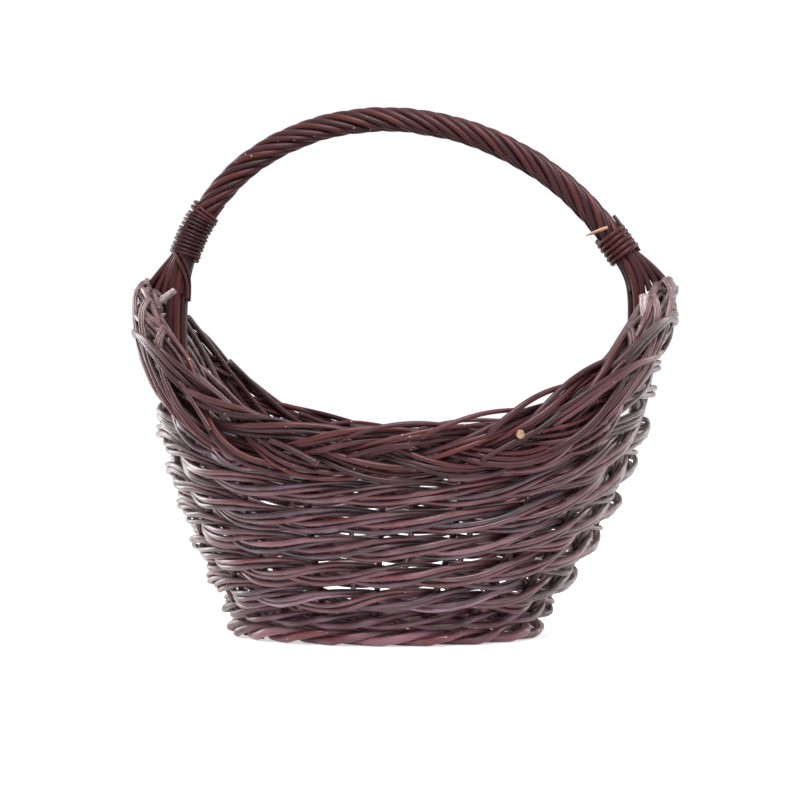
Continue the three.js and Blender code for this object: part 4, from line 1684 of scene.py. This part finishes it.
@dataclass
class Base:
    """Pierced cross sticks, two lengthwise sticks through them and the weave round them."""

    form: BasketForm
    grower: Grower
    long_stick: float = 5.6
    cross_stick: float = 9
    cross_sticks: int = 3
    cross_spacing: float = 52
    weaver: float = 5
    weaver_gap: float = 1.6
    slath_sticks: int = 3
    slath_rows: tuple[float, ...] = (10.8, 13.4, 16.0, 18.6)
    slath_rod: float = 4.4
    slath_end: float = 14
    edge_rod: float = 4.4
    edge_rows: tuple[float, ...] = (5.0, 9.3)
    edge_lift: float = 0.5
    edge_slope: float = 6
    long_fullness: float = 0.92
    cross_fullness: float = 0.95
    weaver_fullness: float = 1.18
    weaver_steps: int = 7
    long_points: int = 50
    cross_points: int = 40
    slath_points: int = 60
    edge_points: int = 120

    @cached_property
    def level(self) -> float:
        """Height of the sticks' middle."""
        form = self.form
        return (form.foot_level + form.foot_rod / 2 + form.upsett_level - form.upsett_rod / 2) / 2

    @cached_property
    def stick_offset(self) -> float:
        """Distance of the lengthwise sticks from the middle."""
        return (self.form.stake_rod + self.long_stick) / 2 + self.form.clearance

    @cached_property
    def half_sizes(self) -> tuple[float, float]:
        """Half the length and half the width of the weave's ground."""
        form = self.form
        inset = form.stake_rod / 2 + 2 * form.clearance + form.foot_rod
        return form.base_length / 2 - inset, form.base_width / 2 - inset

    @cached_property
    def cross_places(self) -> list[float]:
        """Places of the cross sticks along the base."""
        return [(k - (self.cross_sticks - 1) / 2) * self.cross_spacing for k in range(self.cross_sticks)]

    def edge(self, x: float) -> float:
        """Half the width of the base at a place along it."""
        half_length, half_width = self.half_sizes
        return half_width * math.sqrt(1 - (x / half_length) ** 2)

    def places(self) -> list[tuple[int, int, float, float, float, float]]:
        """Places of one round of the weave.

        Returns:
            For each place its spoke, whether the rod passes over or under there, and the two ends of the
            line it moves out on.
        """
        last = self.cross_places[-1]
        half_length, _ = self.half_sizes
        far = self.cross_sticks + 1
        half = math.sqrt(0.5)

        def cross(x: float, side: int, spoke: int) -> tuple[int, int, float, float, float, float]:
            """A place at a cross stick."""
            return spoke, 1, x, 0.0, x, side * self.edge(x)

        def corner(side_x: int, side_y: int) -> tuple[int, int, float, float, float, float]:
            """A place between the last cross stick and the end."""
            return (0, 0, side_x * last, 0.0, side_x * (last + (half_length - last) * half),
                    side_y * half * self.edge(last))

        def end(side_x: int, side_y: int, spoke: int) -> tuple[int, int, float, float, float, float]:
            """A place at an end of a lengthwise stick."""
            y = side_y * self.stick_offset
            return spoke, 1, side_x * last, y, side_x * half_length, y

        back = [cross(x, 1, k + 1) for k, x in enumerate(reversed(self.cross_places))]
        front = [cross(x, -1, far + k + 1) for k, x in enumerate(self.cross_places)]
        return [end(1, -1, 0), end(1, 1, 0), corner(1, 1), *back, corner(-1, 1), end(-1, 1, far),
                end(-1, -1, far), corner(-1, -1), *front, corner(1, -1)]

    def weave(self, start: int) -> list[Rod]:
        """One of the two rods of the weave.

        Args:
            start: which of the two.

        Returns:
            The rod.
        """
        places = self.places()
        reach = (self.cross_stick + self.weaver) / 2 + self.form.clearance
        slath = self.slath_sticks * self.stick_offset + self.long_stick
        pitch = self.weaver + self.weaver_gap
        half_width = self.half_sizes[1]
        rounds = ((half_width - self.weaver / 2 - slath) / pitch - start) / 2
        points = []
        for step in range(math.ceil(rounds * len(places))):
            spoke, over, x0, y0, x1, y1 = places[step % len(places)]
            share = (slath + pitch * (2 * step / len(places) + start)) / half_width
            side = 1 if (spoke + start) % 2 == 0 else -1
            points.append([x0 + (x1 - x0) * share, y0 + (y1 - y0) * share, self.level + side * over * reach])
        path = through(np.array(points), self.weaver_steps)
        return [self.grower.rod(path, self.weaver * self.weaver_fullness)]

    def slath(self) -> list[Rod]:
        """Rods woven to and fro along the lengthwise sticks, which close the middle of the base."""
        reach = (self.cross_stick + self.weaver) / 2 + self.form.clearance
        x = np.linspace(-1, 1, self.slath_points) * (self.cross_places[-1] + self.slath_end)
        wave = np.cos(math.pi * x / self.cross_spacing) * reach
        grown = []
        for row, y in enumerate(self.slath_rows):
            for side in (-1, 1):
                over = side * (-1) ** row
                path = np.stack([x, np.full_like(x, side * y), self.level + over * wave], -1)
                grown.append(self.grower.rod(path, self.slath_rod))
        return grown

    def rim(self) -> list[Rod]:
        """Rods laid round the edge of the base, which close it against the uprights."""
        angle = np.linspace(0, 2 * math.pi, self.edge_points)
        over = (self.long_stick + self.edge_rod) / 2
        grown = []
        for inset in self.edge_rows:
            x = (self.form.base_length / 2 - inset) * np.cos(angle)
            y = (self.form.base_width / 2 - inset) * np.sin(angle)
            beside = np.maximum(np.abs(y) - self.stick_offset, 0) / self.edge_slope
            z = self.level + self.edge_lift + over * np.exp(-beside ** 2)
            grown.append(self.grower.rod(np.stack([x, y, z], -1), self.edge_rod))
        return grown

    def pieces(self) -> list[RodPiece]:
        """The sticks and the weave as pieces."""
        made = []
        half = self.form.base_length / 2
        for k, side in enumerate((-1, 1)):
            y = side * self.stick_offset
            path = np.linspace([-half, y, self.level], [half, y, self.level], self.long_points)
            node = f"base_long_stick_{k + 1}"
            stick = self.grower.rod(path, self.long_stick * self.long_fullness)
            made.append(RodPiece(f"{node}_rod", Bark.BASE, node, [stick]))
        for k, x in enumerate(self.cross_places):
            y = self.edge(x)
            path = np.linspace([x, -y, self.level], [x, y, self.level], self.cross_points)
            node = f"base_cross_stick_{k + 1}"
            stick = self.grower.rod(path, self.cross_stick * self.cross_fullness)
            made.append(RodPiece(f"{node}_rod", Bark.BASE, node, [stick]))
        for k in range(2):
            node = f"base_weaver_{k + 1}"
            made.append(RodPiece(f"{node}_rod", Bark.BASE, node, self.weave(k)))
        made.append(RodPiece("base_slath_rods", Bark.BASE, "", self.slath()))
        made.append(RodPiece("base_edge_rods", Bark.BASE, "", self.rim()))
        return made


@dataclass(frozen=True)
class SoftLamp:
    """A soft lamp: where it hangs, the point it faces, its width, its height and its power in watts."""

    name: str
    place: tuple[float, float, float]
    aim: tuple[float, float, float]
    wide: float
    high: float
    power: float

    def hang(self) -> None:
        """Adds the lamp to the scene."""
        light = bpy.data.lights.new(self.name, "AREA")
        light.shape = "RECTANGLE"
        light.size = self.wide
        light.size_y = self.high
        light.energy = self.power
        lamp = bpy.data.objects.new(self.name, light)
        lamp.location = self.place
        lamp.rotation_euler = (Vector(self.aim) - Vector(self.place)).to_track_quat("-Z", "Y").to_euler()
        bpy.context.scene.collection.objects.link(lamp)


@dataclass
class Studio:
    """White floor and surround, soft lamps and the camera."""

    azimuth: float = math.radians(6)
    distance: float = 1.85
    eye_height: float = 0.206
    lens: float = 94.5
    sensor: float = 36
    aim_x: float = -0.004
    surround_light: float = 0.25
    floor_half: float = 6.0
    paper: tuple[float, float, float, float] = (0.9, 0.9, 0.9, 1)
    paper_rough: float = 0.9
    paper_gloss: float = 0.1
    near_glow: float = 0.6
    near_floor: float = 0.35
    far_floor: float = 1.5
    lamps: tuple[SoftLamp, ...] = (
        SoftLamp("top_lamp", (0.15, -0.95, 1.55), aim=(0, 0, 0.15), wide=0.9, high=0.7, power=48),
        SoftLamp("left_lamp", (-1.45, 0.6, 0.75), aim=(-0.1, 0, 0.2), wide=0.5, high=1.4, power=27),
        SoftLamp("right_lamp", (1.4, 0.75, 0.8), aim=(0.1, 0, 0.2), wide=0.4, high=1.4, power=13))

    def build(self) -> None:
        """Sets up the whole studio."""
        bpy.context.scene.view_settings.view_transform = "Standard"
        self.surround()
        self.floor()
        for lamp in self.lamps:
            lamp.hang()
        self.camera()

    @staticmethod
    def white_to_eye(bench: NodeBench, light: float) -> bpy.types.NodeSocket:
        """A strength that is white to the camera, in gloss and through glass, and a plain level as a light.

        Args:
            bench: adds the nodes.
            light: strength as a light.

        Returns:
            The strength.
        """
        rays = bench.add("ShaderNodeLightPath", {}).outputs
        seen = rays["Is Camera Ray"]
        for ray in ("Is Glossy Ray", "Is Transmission Ray"):
            seen = bench.combine("MAXIMUM", seen, rays[ray])
        return bench.spread(seen, light, 1.0)

    def surround(self) -> None:
        """The world: plain white to the camera and in reflections, softer as a light."""
        world = bpy.data.worlds.new("surround")
        bpy.context.scene.world = world
        world.use_nodes = True
        bench = NodeBench(world.node_tree)
        bench.feed(world.node_tree.nodes["Background"], {
            "Strength": self.white_to_eye(bench, self.surround_light), "Color": (1, 1, 1, 1)})

    def floor(self) -> None:
        """The floor: pale paper that glows white far off, and keeps the basket's shadow near it."""
        mesh = bpy.data.meshes.new("floor")
        half = self.floor_half
        mesh.from_pydata([(-half, -half, 0), (half, -half, 0), (half, half, 0), (-half, half, 0)], [],
                         [(0, 1, 2, 3)])
        material = bpy.data.materials.new("floor_paper")
        material.use_nodes = True
        nodes = material.node_tree.nodes
        bench = NodeBench(material.node_tree)
        bench.feed(nodes["Principled BSDF"], {"Base Color": self.paper, "Roughness": self.paper_rough,
                                              "Specular IOR Level": self.paper_gloss})
        away = bench.add("ShaderNodeVectorMath", {0: bench.add("ShaderNodeTexCoord", {}).outputs["Object"]},
                         operation="LENGTH").outputs["Value"]
        fade = bench.spread(away, self.near_glow, 1.0, start=self.near_floor, end=self.far_floor)
        glow = bench.add("ShaderNodeEmission", {"Strength": bench.times(self.white_to_eye(bench, 0.0), fade)})
        both = bench.add("ShaderNodeAddShader", {0: nodes["Principled BSDF"].outputs["BSDF"],
                                                 1: glow.outputs["Emission"]})
        bench.feed(nodes["Material Output"], {"Surface": both.outputs["Shader"]})
        mesh.materials.append(material)
        floor = bpy.data.objects.new("floor", mesh)
        bpy.context.scene.collection.objects.link(floor)

    def camera(self) -> None:
        """The camera at the photograph's viewing angle."""
        lens = bpy.data.cameras.new("camera")
        lens.lens = self.lens
        lens.sensor_width = self.sensor
        camera = bpy.data.objects.new("camera", lens)
        camera.location = (self.aim_x + self.distance * math.sin(self.azimuth),
                           -self.distance * math.cos(self.azimuth), self.eye_height)
        aim = Vector((self.aim_x, 0, self.eye_height))
        camera.rotation_euler = (aim - camera.location).to_track_quat("-Z", "Y").to_euler()
        bpy.context.scene.collection.objects.link(camera)
        bpy.context.scene.camera = camera


SubAssembly = Wale | Uprights | EndPacking | Border | LooseEnds | Handle | Base


@dataclass
class FirewoodBasket:
    """The whole basket, piece by piece."""

    form: BasketForm = field(default_factory=BasketForm)
    seed: int = 11

    def grower(self, step: int, **sizes: float) -> Grower:
        """A grower with its own run of random numbers."""
        return Grower(np.random.default_rng(self.seed + step), **sizes)

    def parts(self) -> list[SubAssembly]:
        """The sub-assemblies in the order a maker works."""
        form = self.form
        bands = [Wale(form, f"wale_{band + 1}", Bark.WALE, level, first_stake=2 * band,
                      half_rise=form.wale_half_rise, rod_size=form.wale_rod, rods=2,
                      grower=self.grower(5 + band)) for band, level in enumerate(form.band_levels)]
        return [
            Base(form, self.grower(1)),
            Uprights(form, self.grower(2)),
            Wale(form, "foot_wale", Bark.FOOT, form.foot_level, first_stake=0, half_rise=form.foot_half_rise,
                 rod_size=form.foot_rod, rods=1, grower=self.grower(3), fullness=1.0),
            Wale(form, "upsett_wale", Bark.FOOT, form.upsett_level, first_stake=1,
                 half_rise=form.upsett_half_rise, rod_size=form.upsett_rod, rods=1, grower=self.grower(4),
                 fullness=1.0),
            *bands,
            EndPacking(form, self.grower(20)),
            Border(form, self.grower(21)),
            LooseEnds(form, self.grower(23, swelling=0.04)),
            Handle(form, self.grower(22, taper=0.05, swelling=0.03))]

    def build(self) -> None:
        """Builds and dresses every piece."""
        materials = {kind: finish.make() for kind, finish in FINISHES.items()}
        for part in self.parts():
            for piece in part.pieces():
                piece.make(self.form, materials)


def main() -> None:
    """Builds the basket and the studio."""
    logging.basicConfig(level=logging.INFO, format="%(message)s")
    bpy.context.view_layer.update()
    FirewoodBasket().build()
    Studio().build()


if __name__ == "__main__":
    main()
